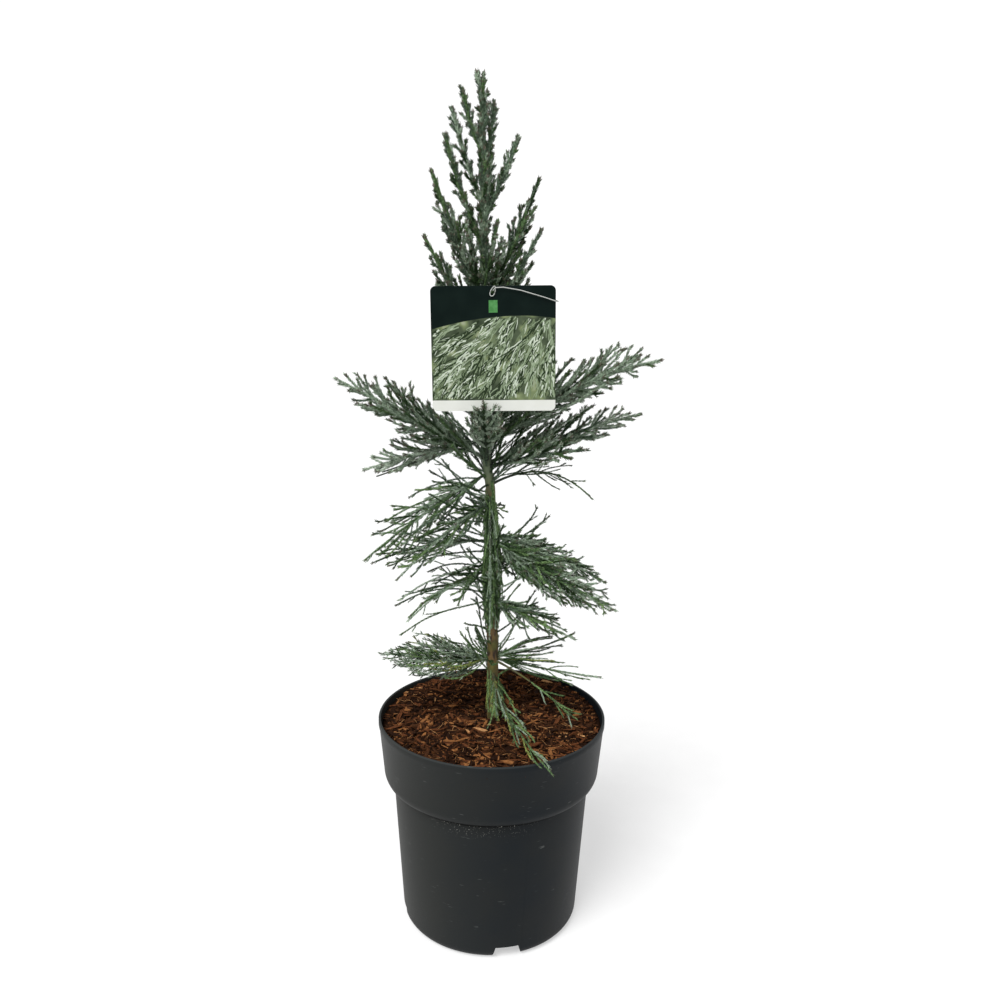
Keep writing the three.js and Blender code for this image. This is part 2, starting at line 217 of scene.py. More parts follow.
def joined_piece(name, parts, materials):
    """One mesh object from parts, each of corners, faces and the number of its material."""
    corners, faces, picks = [], [], []
    total = 0
    for part_corners, part_faces, pick in parts:
        corners.append(part_corners)
        faces.append(part_faces + total)
        picks.append(np.full(len(part_faces), pick))
        total += len(part_corners)
    return make_piece(name, np.concatenate(corners), np.concatenate(faces), materials, np.concatenate(picks))


def repeated(pattern, corners, count):
    """The faces of that many like parts, each with so many corners."""
    return (pattern[None] + corners * np.arange(count)[:, None, None]).reshape(-1, 3)


def settle(piece, nodes=()):
    """Puts a piece on the plant's body, in place of the model's nodes."""
    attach(piece, "root")
    if nodes:
        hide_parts(*nodes)


def unit(vector):
    return vector / max(np.linalg.norm(vector), 1e-9)


def units(vectors):
    return vectors / np.maximum(np.linalg.norm(vectors, axis=1, keepdims=True), 1e-9)


def turns(count):
    """The angles of points evenly round a circle."""
    return np.arange(count) * 2 * math.pi / count


def arch(share):
    """0 at both ends and 1 in the middle."""
    return 4 * share * (1 - share)


def side_ways(along):
    """Two directions square to each of the directions given: one nearly level, and one nearly upright."""
    across = units(np.cross(along, np.where(np.abs(along[:, 2:3]) < STEEP, Z, X)))
    return across, np.cross(across, along)


def headings_of(points):
    return units(np.gradient(points, axis=0))


def line_length(points):
    return float(np.linalg.norm(np.diff(points, axis=0), axis=1).sum())


def at_share(points, share):
    """The point at a share of a line, and the line's direction there."""
    place = share * (len(points) - 1)
    low = min(int(place), len(points) - 2)
    step = points[low + 1] - points[low]
    return points[low] + step * (place - low), unit(step)


def at_shares(points, shares):
    grid = np.linspace(0, 1, len(points))
    return np.stack([np.interp(shares, grid, points[:, k]) for k in range(3)], 1)


def tube(points, radii, sides, rough=None):
    """Corners and four-cornered faces of a tube along points, open at its ends. rough adds relief."""
    across, up = side_ways(headings_of(points))
    turn = turns(sides)
    ring = across[:, None] * np.cos(turn)[None, :, None] + up[:, None] * np.sin(turn)[None, :, None]
    reach = np.repeat(np.asarray(radii, float)[:, None], sides, 1)
    if rough is not None:
        reach = reach + rough(points, turn)
    corners = points[:, None] + ring * reach[:, :, None]
    index = np.arange(len(points) * sides).reshape(-1, sides)
    near, far = index[:-1], index[1:]
    faces = np.stack([near, np.roll(near, -1, 1), np.roll(far, -1, 1), far], -1)
    return corners.reshape(-1, 3), faces.reshape(-1, 4)


# ---- The trunk's line, from the model ----

trunk_rings = rings_of("trunk")
trunk_levels = np.array(list(trunk_rings))
trunk_middles = np.array([ring.mean(0) for ring in trunk_rings.values()])
trunk_radii = np.array([np.linalg.norm(ring - ring.mean(0), axis=1).max() for ring in trunk_rings.values()])

# Scales and stubs cling to the trunk. They make it this much thicker than its wood up to one height, and no
# thicker above the other, and they hide its flare beyond the stoutest radius.
CLAD = {"swell": 1.18, "full_to": 475, "none_from": 540, "stoutest": 6.2}


def trunk_points(levels):
    """The trunk's middle at one height or more."""
    middles = [np.interp(levels, trunk_levels, trunk_middles[:, k]) for k in (0, 1)]
    return np.stack([*middles, np.asarray(levels, float)], -1)


def trunk_reach(levels):
    """The trunk's radius at one height or more, with what clings to it."""
    swell = np.interp(levels, (CLAD["full_to"], CLAD["none_from"]), (CLAD["swell"], 1))
    return np.minimum(np.interp(levels, trunk_levels, trunk_radii) * swell, CLAD["stoutest"])


def off_trunk(corners):
    """How far corners are from the trunk's middle at their own heights."""
    return np.linalg.norm((corners - trunk_points(corners[:, 2]))[:, :2], axis=1)


# ---- Boughs' lines and the room round them, from the model ----

MASSES = [name[len("foliage_"):] for name in sorted(NODES) if name.startswith("foliage_")]
# How far the middle of a mass sags below its model
SAG = {"low_right": 11}
# How often a line may cross a mass's skin, and how far past a crossing the search goes on
CROSSINGS = 6
PAST = 0.01
# Spots on a mass's skin are picked from this many times as many points, each far from the ones before it. How
# far counts by a chance share, so that the spots aren't too even.
TRIES = 5
CHANCE = (0.7, 1)
# Corners of a limb up to this much further from the trunk than its nearest one are its foot
LIMB_FOOT = 4
# Only the skin where the arch is above this shows how a bough bows. A bough's line is bare for this share of
# it at most, and has this many points.
BOWED = 0.2
BAREST = 0.5
BOUGH_POINTS = 25


class Room:
    """The space inside a mass of foliage, which may sag between its ends."""

    def __init__(self, node, sag=0):
        self.corners = corners_of(node)
        self.triangles = triangles_of(node)
        away = np.linalg.norm(self.corners[:, :2], axis=1)
        self.corners[:, 2] -= sag * arch((away - away.min()) / (away.max() - away.min()))
        self.tree = BVHTree.FromPolygons([Vector(c) for c in self.corners], self.triangles.tolist())

    def way_out(self, start, heading, furthest):
        """How far it is from start to where a line in that direction last leaves the mass, up to furthest."""
        gone = 0.0
        out = 0.0
        origin = Vector(start)
        heading = Vector(heading)
        for _ in range(CROSSINGS):
            place, normal, _index, gap = self.tree.ray_cast(origin, heading, furthest - gone)
            if place is None:
                break
            gone += gap + PAST
            if normal.dot(heading) > 0:
                out = gone
            origin = place + heading * PAST
        return out

    def skin(self):
        """Middles and areas of the mass's triangles."""
        sides = self.corners[self.triangles]
        cross = np.cross(sides[:, 1] - sides[:, 0], sides[:, 2] - sides[:, 0])
        return sides.mean(1), np.linalg.norm(cross, axis=1) / 2

    def spots(self, patch, rng):
        """Points strewn evenly over the mass's skin, one to each patch of so many square millimetres."""
        areas = self.skin()[1]
        count = max(FEWEST, int(areas.sum() / patch))
        picks = rng.choice(len(areas), count * TRIES, p=areas / areas.sum())
        u, v = rng.uniform(0, 1, (2, count * TRIES))
        fold = u + v > 1
        u[fold], v[fold] = 1 - u[fold], 1 - v[fold]
        sides = self.corners[self.triangles[picks]]
        edges = sides[:, 1:] - sides[:, :1]
        tries = sides[:, 0] + u[:, None] * edges[:, 0] + v[:, None] * edges[:, 1]
        chosen = [0]
        gaps = np.linalg.norm(tries - tries[0], axis=1)
        while len(chosen) < count:
            chosen.append(int((gaps * rng.uniform(*CHANCE, len(gaps))).argmax()))
            gaps = np.minimum(gaps, np.linalg.norm(tries - tries[chosen[-1]], axis=1))
        return tries[chosen]


def bough_line(name, room, drop):
    """A bough's line from the trunk's middle to its tip, and the share of it where the foliage begins."""
    limb = f"bough_{name}"
    if limb in NODES:
        ends = corners_of(limb)
        away = off_trunk(ends)
        foot = ends[away < away.min() + LIMB_FOOT].mean(0)
    else:
        gaps = np.linalg.norm(room.corners[:, None] - room.corners[None], axis=2)
        ends = room.corners[list(np.unravel_index(gaps.argmax(), gaps.shape))]
        foot = ends[off_trunk(ends).argmin()]
    root = trunk_points(foot[2])
    tip = room.corners[np.linalg.norm(room.corners - root, axis=1).argmax()]
    chord = tip - root
    middles, areas = room.skin()
    shares = (middles - root) @ chord / (chord @ chord)
    off = middles - root - shares[:, None] * chord
    bend = arch(shares)
    weight = areas * (bend > BOWED)
    bow = (off * (weight * bend)[:, None]).sum(0) / (weight * bend**2).sum()
    bow[2] -= drop
    s = np.linspace(0, 1, BOUGH_POINTS)[:, None]
    begins = ((room.corners - root) @ chord / (chord @ chord)).min()
    return root + chord * s + 4 * bow * s * (1 - s), float(np.clip(begins, 0, BAREST))


# ---- The habits of growth ----

# One kind of leaf: length, width, how many to a millimetre of shoot, how far it stands off, in degrees, and
# how many more stand in the knob at the shoot's tip
Leaf = namedtuple("Leaf", "length width crowd spread knob")
# Branchlets from a bough's line to the skin of its mass. patch is the skin for each, in square millimetres;
# angle is how far they stand off the line, in degrees; bulge bows them outwards and lift turns their tips up;
# reach is the least and the most share of the way to the skin; radius is of the bare shoot inside its leaves.
Spray = namedtuple("Spray", "patch angle bulge lift reach radius leaf")
# One kind of side shoot, as it stands on its parent. spacing is along the parent and start is the share where
# the first one stands; longest is in millimetres and part is the most it may be of its parent's length; fade
# is how fast the shoots shorten towards the parent's tip; flat squeezes them towards the level and rise lifts
# them; onward and upward bend them as they grow.
Order = namedtuple("Order", "spacing start angle longest part fade flat rise onward upward radius leaf")
# One way of growing: the main shoot's radius at its foot and its tip, and its leaf; its spray; its orders of
# side shoots; where its leaves start, how far its line lies below the middle of the mass, how much its shoots
# wander, and the share of each tint
Habit = namedtuple("Habit", "radius leaf spray orders leafy drop sway tints")
Shoot = namedtuple("Shoot", "points radii leaf tint")

CORD = Leaf(4.2, 1.7, 2.9, 19, 9)
FINE_CORD = Leaf(3.5, 1.35, 2.5, 20, 8)
NEEDLE = Leaf(3.7, 1.3, 2.1, 20, 8)
SHORT_NEEDLE = Leaf(3.1, 1.0, 1.7, 19, 5)
WIRE_NEEDLE = Leaf(3.3, 1.15, 1.6, 16, 4)
THIN_NEEDLE = Leaf(2.9, 0.9, 1.4, 12, 2)

TINTS = {
    "blue_green": (0.076, 0.114, 0.072),
    "deep_green": (0.021, 0.046, 0.014),
    "grey_green": (0.215, 0.281, 0.2),
    "pale_green": (0.31, 0.375, 0.29),
    "mid_green": (0.072, 0.127, 0.048),
    "fresh_green": (0.125, 0.205, 0.075),
    "yellow_green": (0.21, 0.245, 0.065),
    "bronze": (0.092, 0.084, 0.062),
}
TINT = {name: k for k, name in enumerate(TINTS)}
# The share of the leaves at shoots' tips that are bronze, in each zone
BRONZE_TIPS = {
    "top": 0.75, "upper": 0.65, "great": 0.65, "middle": 0.6, "core": 0.15, "low": 0.4, "trunk": 0.15,
    "bottom": 0.3}
# How far a shoot's bronze tip reaches, as a share of its length and at most in millimetres
BRONZE_REACH = (0.16, 5.0)


def greens(**shares):
    """The shares of the green tints, by the first words of their names."""
    return {f"{name}_green": share for name, share in shares.items()}


HABITS = {
    "cord": Habit(
        (1.6, 1.2), CORD, None,
        [Order(3.3, 0.04, 32, 13, 0.5, 0.25, 1, 0, 0.5, 0.25, 0.98, FINE_CORD),
         Order(3.4, 0.45, 34, 5, 0.6, 0.2, 1, 0, 0.4, 0.2, 0.75, FINE_CORD)],
        0.03, 0, 0.05, greens(blue=7, deep=3, grey=4, mid=1)),
    "plume": Habit(
        (1.5, 0.9), CORD, Spray(190, 20, 0.08, 0.05, (0.72, 1.02), 0.85, FINE_CORD),
        [Order(4.6, 0.22, 30, 10, 0.4, 0.25, 1, 0, 0.4, 0.25, 0.75, FINE_CORD)],
        0.05, 0, 0.05, greens(blue=5, deep=3, grey=5, mid=3)),
    "fan": Habit(
        (1.4, 0.8), NEEDLE, Spray(176, 33, 0.1, 0.1, (0.76, 1.18), 0.68, NEEDLE),
        [Order(5.6, 0.4, 31, 11, 0.4, 0.3, 0.9, 0.1, 0.5, 0.2, 0.5, SHORT_NEEDLE)],
        0.06, 5, 0.08, greens(blue=6, deep=3, mid=3, grey=27)),
    "whip": Habit(
        (0.9, 0.6), THIN_NEEDLE, Spray(270, 27, 0.12, 0.03, (0.8, 1.6), 0.5, THIN_NEEDLE),
        [Order(16, 0.5, 20, 20, 0.4, 0.4, 0.9, 0, 0.3, 0.1, 0.42, THIN_NEEDLE)],
        0.1, 0, 0.08, greens(mid=5, deep=4, blue=3, grey=2)),
    "wiry": Habit(
        (1.0, 0.65), WIRE_NEEDLE, Spray(285, 23, 0.14, 0.06, (0.7, 1.3), 0.6, WIRE_NEEDLE),
        [Order(11.0, 0.35, 26, 30, 0.5, 0.5, 0.9, 0, 0.3, 0.1, 0.52, WIRE_NEEDLE),
         Order(9.0, 0.5, 28, 9, 0.4, 0.3, 1, 0, 0.3, 0.1, 0.45, THIN_NEEDLE)],
        0.08, 1, 0.13, greens(mid=5, deep=5, blue=4, grey=5, fresh=2)),
    "tuft": Habit(
        (0.9, 0.6), WIRE_NEEDLE, Spray(150, 25, 0.14, 0.04, (0.5, 1.55), 0.58, WIRE_NEEDLE),
        [Order(10.0, 0.3, 29, 26, 0.5, 0.4, 0.9, 0, 0.3, 0.1, 0.5, WIRE_NEEDLE)],
        0.06, 1, 0.1, greens(mid=5, deep=4, fresh=1, blue=3, grey=8)),
    "bushy": Habit(
        (1.1, 0.7), NEEDLE, Spray(124, 29, 0.14, 0.05, (0.45, 1.12), 0.58, SHORT_NEEDLE),
        [Order(6.5, 0.2, 32, 22, 0.45, 0.3, 0.9, 0.1, 0.25, 0.15, 0.5, WIRE_NEEDLE)],
        0.04, 1, 0.08, greens(mid=5, fresh=2, blue=3, grey=13, deep=4)),
    "skirt": Habit(
        (0.9, 0.55), THIN_NEEDLE, Spray(235, 12, 0.12, 0.04, (0.75, 1.35), 0.54, WIRE_NEEDLE),
        [Order(13.0, 0.45, 20, 22, 0.4, 0.5, 0.9, 0, 0.3, 0.05, 0.42, THIN_NEEDLE)],
        0.08, 1, 0.14, greens(mid=6, fresh=2, grey=3, deep=4)),
    "straws": Habit(
        (0.9, 0.55), WIRE_NEEDLE, Spray(300, 10, 0.12, 0.04, (0.85, 1.5), 0.5, THIN_NEEDLE),
        [Order(18.0, 0.55, 18, 18, 0.4, 0.5, 0.9, 0, 0.3, 0.05, 0.42, THIN_NEEDLE)],
        0.08, 1, 0.1, greens(mid=5, grey=3, deep=3, yellow=2)),
    "cluster": Habit(
        (0.9, 0.55), THIN_NEEDLE, Spray(96, 24, 0.22, 0.06, (0.45, 1.5), 0.52, THIN_NEEDLE),
        [Order(6.5, 0.15, 34, 22, 0.45, 0.4, 0.9, 0, 0.2, 0.2, 0.42, THIN_NEEDLE),
         Order(9.0, 0.4, 28, 8, 0.4, 0.3, 1, 0, 0.3, 0.1, 0.4, THIN_NEEDLE)],
        0.08, 1, 0.15, greens(mid=4, fresh=4, grey=15, deep=4, yellow=1)),
    "hanging": Habit(
        (1.0, 0.6), THIN_NEEDLE, None,
        [Order(9.0, 0.2, 22, 12, 0.3, 0.4, 1, 0, 0.5, -0.3, 0.42, THIN_NEEDLE)],
        0.0, 0, 0.07, greens(mid=9, fresh=5, grey=4, deep=5)),
    "strand": Habit(
        (0.8, 0.5), THIN_NEEDLE, Spray(420, 9, 0.08, 0, (0.8, 1.1), 0.45, THIN_NEEDLE),
        [Order(14.0, 0.5, 20, 14, 0.3, 0.4, 1, 0, 0.5, -0.1, 0.4, THIN_NEEDLE)],
        0.05, 0, 0.08, greens(mid=6, fresh=3, grey=4)),
    "foot": Habit(
        (0.8, 0.5), THIN_NEEDLE, None,
        [Order(15.0, 0.5, 14, 11, 0.3, 0.4, 1, 0, 0.5, -0.1, 0.4, THIN_NEEDLE)],
        0.05, 0, 0.08, greens(yellow=7, fresh=3, mid=3)),
    "tassel": Habit(
        (0.8, 0.5), THIN_NEEDLE, None,
        [Order(3.4, 0.6, 26, 22, 0.5, 0.1, 1, 0, 0.2, 0.15, 0.45, THIN_NEEDLE)],
        0.5, 0, 0.06, greens(mid=5, fresh=3, grey=3)),
    "trailing": Habit(
        (0.8, 0.5), THIN_NEEDLE, Spray(200, 13, 0.12, 0, (0.7, 1.1), 0.5, THIN_NEEDLE),
        [Order(10.0, 0.3, 24, 16, 0.3, 0.4, 1, 0, 0.5, -0.1, 0.42, THIN_NEEDLE)],
        0.05, 0, 0.1, greens(yellow=3, fresh=5, grey=3, mid=5, deep=4)),
}
# The middle boughs stand in the shade of the great ones, and have more pale leaves to make up for it
HABITS["pale_fan"] = HABITS["fan"]._replace(tints=greens(blue=5, deep=4, mid=3, grey=14, pale=13))
# The habit of each bough, by its name or by the name's first word
HABIT_OF = {
    "top": "cord", "high": "cord", "upper": "plume", "shoulder": "plume", "great": "fan",
    "middle": "pale_fan", "thin": "whip", "low": "wiry", "low_right": "bushy", "low_back_right": "bushy",
    "drooping": "wiry", "drooping_right": "tuft", "hanging": "strand", "bottom": "skirt",
    "bottom_front_right": "tassel", "bottom_left": "cluster", "bottom_right": "straws",
    "bottom_front": "trailing",
}
ZONE_OF = {
    "leader": "top", "top": "top", "high": "top", "upper": "upper", "shoulder": "upper", "great": "great",
    "middle": "middle", "thin": "low", "low": "low", "drooping": "low", "hanging": "low", "bottom": "bottom",
}


def habit_of(name):
    return HABITS[HABIT_OF.get(name) or HABIT_OF[name.split("_")[0]]]


def zone_of(name):
    return ZONE_OF[name.split("_")[0]]


# ---- The rule of growth ----

# The distance between a shoot's points, and how far its waves run over its length, in radians
POINT_GAP = 3.5
WAVES = (3, 7)
# The share of its length that a bowed shoot wanders
WANDER = 0.12
# Side shoots: where each one stands in its own stretch of its parent, the share of the parent where the last
# may stand and where their length would come to nothing, how far they stray from their turn round it, how
# their angles and lengths vary, how much their bend counts in the search for room, how far it goes, how far
# and by how much they may pass the mass's skin, the least length that grows and that bears twigs, and how
# often twigs keep their parent's tint
SIDES = {
    "place": (0.1, 0.9), "last": 0.985, "end": 1.02, "stray": 0.35, "angle": (0.75, 1.25),
    "length": (0.65, 1.1), "bend": 0.5, "search": 1.2, "past": 4, "room": 1.15, "least": 3, "bearing": 8,
    "like": 0.6}
# Branchlets: the points tried along the bough, how their angles vary, the least way that they run beside the
# bough, the shares of it where the first and last may leave it, how their bows and lifts vary, and the least
# length that grows and that bears twigs
BRANCHLETS = {
    "grid": 81, "angle": (0.5, 1.6), "beside": 8, "first": (0.04, 0.14), "last": 0.96, "bow": (0.3, 1.6),
    "lift": (0.3, 1.5), "least": 4, "bearing": 8}
# How far the side shoots at a cord's tip reach past its line
TIP_KNOB = 5


def points_for(length):
    return max(FEWEST, int(length / POINT_GAP) + 2)


def grown_line(start, heading, length, bend, sway, rng):
    """A line of that length that sets off along heading and is turned by bend on its way."""
    count = points_for(length)
    s = np.linspace(0, 1, count)[:, None]
    wander = sway * np.sin(s * rng.uniform(*WAVES, 3) + rng.uniform(0, 2 * math.pi, 3))
    headings = units(heading + s * bend + wander - wander[0])
    return start + np.vstack([np.zeros(3), np.cumsum(headings[:-1], axis=0)]) * length / (count - 1)


def bowed_line(start, end, bow, sway, rng):
    """A line from start to end that is bowed to one side, and wanders a little."""
    length = np.linalg.norm(end - start)
    s = np.linspace(0, 1, points_for(length))[:, None]
    wander = sway * length * WANDER * np.sin(s * rng.uniform(*WAVES, 3)) * (1 - s)
    return start + (end - start) * s + bow * 2 * s * (1 - s) + wander


def taper(radius, count, last=0.6):
    return np.linspace(radius, radius * last, count)


def pick_tint(tints, rng):
    shares = np.array(list(tints.values()), float)
    return TINT[list(tints)[rng.choice(len(tints), p=shares / shares.sum())]]


def grow_sides(shoots, parent, length, orders, habit, rng, room=None, tint=None, sweep=None):
    """Side shoots along a parent line, and theirs in turn.

    They stand all round it, or to the one side that sweep gives with its spread, in radians.
    """
    order = orders[0]
    count = max(1, int(length * (1 - order.start) / order.spacing))
    twist = rng.uniform(0, 2 * math.pi)
    for k in range(count):
        share = order.start + (1 - order.start) * (k + rng.uniform(*SIDES["place"])) / count
        share = min(share, SIDES["last"])
        point, along = at_share(parent, share)
        across, up = (way[0] for way in side_ways(along[None]))
        turn = rng.normal(*sweep) if sweep else twist + k * GOLDEN + rng.normal(0, SIDES["stray"])
        outward = unit(across * math.cos(turn) + up * (math.sin(turn) * order.flat + order.rise))
        angle = math.radians(order.angle * rng.uniform(*SIDES["angle"]))
        heading = along * math.cos(angle) + outward * math.sin(angle)
        bend = along * order.onward + Z * order.upward
        wish = min(order.longest, order.part * length) * (SIDES["end"] - share) ** order.fade
        wish *= rng.uniform(*SIDES["length"])
        if room is not None:
            way = unit(heading + SIDES["bend"] * bend)
            out = room.way_out(point, way, SIDES["search"] * wish)
            wish = min(wish, SIDES["past"] + SIDES["room"] * out)
        if wish < SIDES["least"]:
            continue
        line = grown_line(point, heading, wish, bend, habit.sway, rng)
        own = tint if tint is not None and rng.uniform() < SIDES["like"] else pick_tint(habit.tints, rng)
        shoots.append(Shoot(line, taper(order.radius, len(line)), order.leaf, own))
        if len(orders) > 1 and wish > SIDES["bearing"]:
            grow_sides(shoots, line, wish, orders[1:], habit, rng, room, own)


def grow_spray(shoots, room, line, length, habit, rng):
    """Branchlets that leave a bough's line in good time to reach their own spots on the mass's skin."""
    spray = habit.spray
    grid = np.linspace(0, 1, BRANCHLETS["grid"])
    fine = at_shares(line, grid)
    for spot in room.spots(spray.patch, rng):
        gaps = np.linalg.norm(fine - spot, axis=1)
        near = int(gaps.argmin())
        part = rng.uniform(*spray.reach)
        if near == len(grid) - 1:
            part = min(1.0, spray.reach[1])
        goal = fine[near] + (spot - fine[near]) * part
        lead = gaps[near] / math.tan(math.radians(spray.angle * rng.uniform(*BRANCHLETS["angle"])))
        share = grid[near] - max(lead, BRANCHLETS["beside"]) / length
        share = np.clip(share, rng.uniform(*BRANCHLETS["first"]), BRANCHLETS["last"])
        start, along = at_share(line, share)
        chord = goal - start
        reach = np.linalg.norm(chord)
        if reach < BRANCHLETS["least"]:
            continue
        aside = chord - along * (chord @ along)
        bow = unit(aside) * reach * spray.bulge * rng.uniform(*BRANCHLETS["bow"])
        bow -= Z * reach * spray.lift * rng.uniform(*BRANCHLETS["lift"])
        path = bowed_line(start, goal, bow, habit.sway, rng)
        own = pick_tint(habit.tints, rng)
        shoots.append(Shoot(path, taper(spray.radius, len(path)), spray.leaf, own))
        if reach > BRANCHLETS["bearing"]:
            grow_sides(shoots, path, reach, habit.orders, habit, rng, room, own)


def grow_bough(name, rng):
    """The leafy shoots of a bough, and the line of its bark with the share where its mass begins."""
    habit = habit_of(name)
    room = Room(f"foliage_{name}", SAG.get(name, 0))
    line, begins = bough_line(name, room, habit.drop)
    length = line_length(line)
    if not habit.spray:
        line = line[0] + (line - line[0]) * (1 - TIP_KNOB / length)
        length -= TIP_KNOB
    first = int(habit.leafy * (len(line) - 1))
    radii = taper(habit.radius[0], len(line), habit.radius[1] / habit.radius[0])
    shoots = [Shoot(line[first:], radii[first:], habit.leaf, pick_tint(habit.tints, rng))]
    if habit.spray:
        grow_spray(shoots, room, line, length, habit, rng)
    else:
        grow_sides(shoots, line, length, habit.orders, habit, rng)
    return shoots, line, begins


# ---- Shoots on the trunk ----

LEADER = {
    "leafy_from": 555, "points": 90,
    "sides": [Order(2.5, 0.3, 24, 14, 1, 0.05, 1, 0, 0.7, 0.3, 1.1, CORD),
              Order(3.4, 0.45, 34, 5, 0.6, 0.2, 1, 0, 0.4, 0.2, 0.75, FINE_CORD)],
}
# Shoots on a length of the trunk: the seed, the heights of the lowest and the highest, the habit that gives
# their tints and sway, their orders, and the side that they keep to with its spread, if they don't stand all
# round it
Brush = namedtuple("Brush", "seed levels habit sides sweep", defaults=(None,))
LEFT, RIGHT = -math.pi / 2, math.pi / 2
# Rising shoots that fill the middle of the crown
CORE = Brush(301, (450, 572), "plume", [
    Order(1.8, 0, 50, 66, 1, 0, 0.9, 0, 0.1, 0.4, 0.7, NEEDLE),
    Order(5.4, 0.2, 28, 15, 0.4, 0.35, 1, 0.1, 0.5, 0.2, 0.55, SHORT_NEEDLE)])
# Nearly level shoots that fill the middle of the lower crown and clothe the trunk's foot, more of them on the
# left, and thin whips on the right
BRUSHES = [
    Brush(304, (318, 398), "wiry", [
        Order(3.4, 0, 66, 70, 1, 0, 0.75, 0, 0.2, 0.1, 0.58, WIRE_NEEDLE),
        Order(10.0, 0.4, 26, 22, 0.5, 0.5, 0.9, 0, 0.3, 0.1, 0.5, THIN_NEEDLE)]),
    Brush(305, (246, 310), "skirt", [
        Order(5.2, 0, 50, 70, 1, 0, 0.9, 0, -0.1, 0.1, 0.54, WIRE_NEEDLE),
        Order(14.0, 0.4, 22, 20, 0.5, 0.5, 0.9, 0, 0.3, 0.1, 0.42, THIN_NEEDLE)]),
    Brush(306, (392, 452), "wiry", [
        Order(4.6, 0, 76, 94, 2, 0, 1, 0, 0.1, 0.05, 0.6, WIRE_NEEDLE),
        Order(13.0, 0.5, 26, 24, 0.5, 0.5, 0.9, 0, 0.3, 0.1, 0.45, THIN_NEEDLE)], (LEFT, 0.9)),
    Brush(307, (335, 392), "wiry", [
        Order(4.6, 0, 92, 92, 2, 0, 1, 0, -0.5, 0, 0.6, WIRE_NEEDLE),
        Order(13.0, 0.5, 28, 24, 0.5, 0.5, 0.9, 0, 0.3, 0.1, 0.45, THIN_NEEDLE)], (LEFT, 0.8)),
    Brush(308, (448, 474), "whip", [
        Order(2.4, 0, 66, 88, 4, 0, 1, 0, -0.05, 0, 0.5, THIN_NEEDLE),
        Order(18.0, 0.5, 20, 22, 0.4, 0.4, 0.9, 0, 0.3, 0.1, 0.42, THIN_NEEDLE)], (RIGHT, 0.5)),
]
# Cords that hang round the trunk: the seed, how many, the heights of the lowest and highest foot, their
# lengths, the lowest tip and how far the others end above it, how far their tips stand off the bark, the
# height above the lowest tip from which they close in on it, the side that most of them take with its spread,
# in radians, and their habit. Round the trunk's foot there is a short skirt, with a few strands that droop on
# to the soil in front of it.
Curtain = namedtuple("Curtain", "seed count levels length lowest ragged gap closing sweep habit")
CURTAINS = [
    Curtain(302, 92, (345, 456), (40, 95), 304, 14, (0.6, 5.2), 42, (-1.8, 1.2), "hanging"),
    Curtain(303, 12, (236, 266), (18, 52), 212.5, 12, (0.1, 0.7), 1, (-1.9, 0.9), "foot"),
    Curtain(310, 4, (226, 240), (15, 27), 212.5, 2, (12, 34), 1, (-1.75, 0.3), "foot"),
]
# How close cords come to the bark, as a share of their gap, the power by which the gap grows along them, how
# far they stand off in any case, how far they turn round the trunk on their way, their least length, their
# least points and the distance between those, and their radius
HANG = {
    "closest": 0.25, "opening": 0.7, "off": 0.6, "turn": 0.3, "least": 8, "points": 6, "step": 4,
    "radius": 0.6}
BRUSH_POINTS = 40


def grow_leader():
    """Leaves that clothe the top of the trunk, with its short side shoots."""
    rng = seeded(MASSES.index("leader"))
    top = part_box("foliage_leader")[1].z / MM
    levels = np.linspace(LEADER["leafy_from"], top - 2 * TIP_KNOB, LEADER["points"])
    line = trunk_points(np.minimum(levels, trunk_levels[-1]))
    line[:, 2] = levels
    shoots = [Shoot(line, trunk_reach(levels), CORD, TINT["blue_green"])]
    grow_sides(shoots, line, line_length(line), LEADER["sides"], HABITS["cord"], rng)
    return shoots


def grow_brush(brush):
    shoots = []
    line = trunk_points(np.linspace(*brush.levels, BRUSH_POINTS))
    habit = HABITS[brush.habit]
    rng = seeded(brush.seed)
    grow_sides(shoots, line, line_length(line), brush.sides, habit, rng, sweep=brush.sweep)
    return shoots


def grow_curtain(curtain):
    """Cords that hang close round the trunk, with short twigs."""
    habit = HABITS[curtain.habit]
    rng = seeded(curtain.seed)
    shoots = []
    for _ in range(curtain.count):
        foot = rng.uniform(*curtain.levels)
        lowest = curtain.lowest + abs(rng.normal(0, curtain.ragged))
        length = max(HANG["least"], min(rng.uniform(*curtain.length), foot - lowest))
        s = np.linspace(0, 1, max(HANG["points"], int(length / HANG["step"])))
        levels = foot - s * length
        close = np.clip((levels - curtain.lowest) / curtain.closing, HANG["closest"], 1)
        gap = rng.uniform(*curtain.gap) * s ** HANG["opening"] * close + s * HANG["off"]
        side = rng.normal(*curtain.sweep) + rng.normal(0, HANG["turn"]) * s
        reach = trunk_reach(levels) + gap
        out = np.stack([np.cos(side), np.sin(side), 0 * side], 1)
        points = trunk_points(levels) + out * reach[:, None]
        own = pick_tint(habit.tints, rng)
        shoots.append(Shoot(points, taper(HANG["radius"], len(points)), habit.leaf, own))
        grow_sides(shoots, points, length, habit.orders, habit, rng, None, own)
    return shoots


# ---- Leaves and twigs as joined meshes ----

# A broad leaf widens to its waist and then narrows to its point; an awl narrows all the way from its foot,
# which the shoot covers. Both have a keel along their outer side.
BROAD_FACES = np.array([[0, 3, 1], [0, 2, 3], [1, 3, 4], [3, 2, 4], [0, 1, 2], [1, 4, 2]])
AWL_FACES = np.array([[0, 2, 3], [2, 1, 3], [0, 3, 1]])
BROAD = {"waist": 0.34, "keel": 0.3, "thick": 0.72}
AWL = {"keel": 0.08, "thick": 0.8}
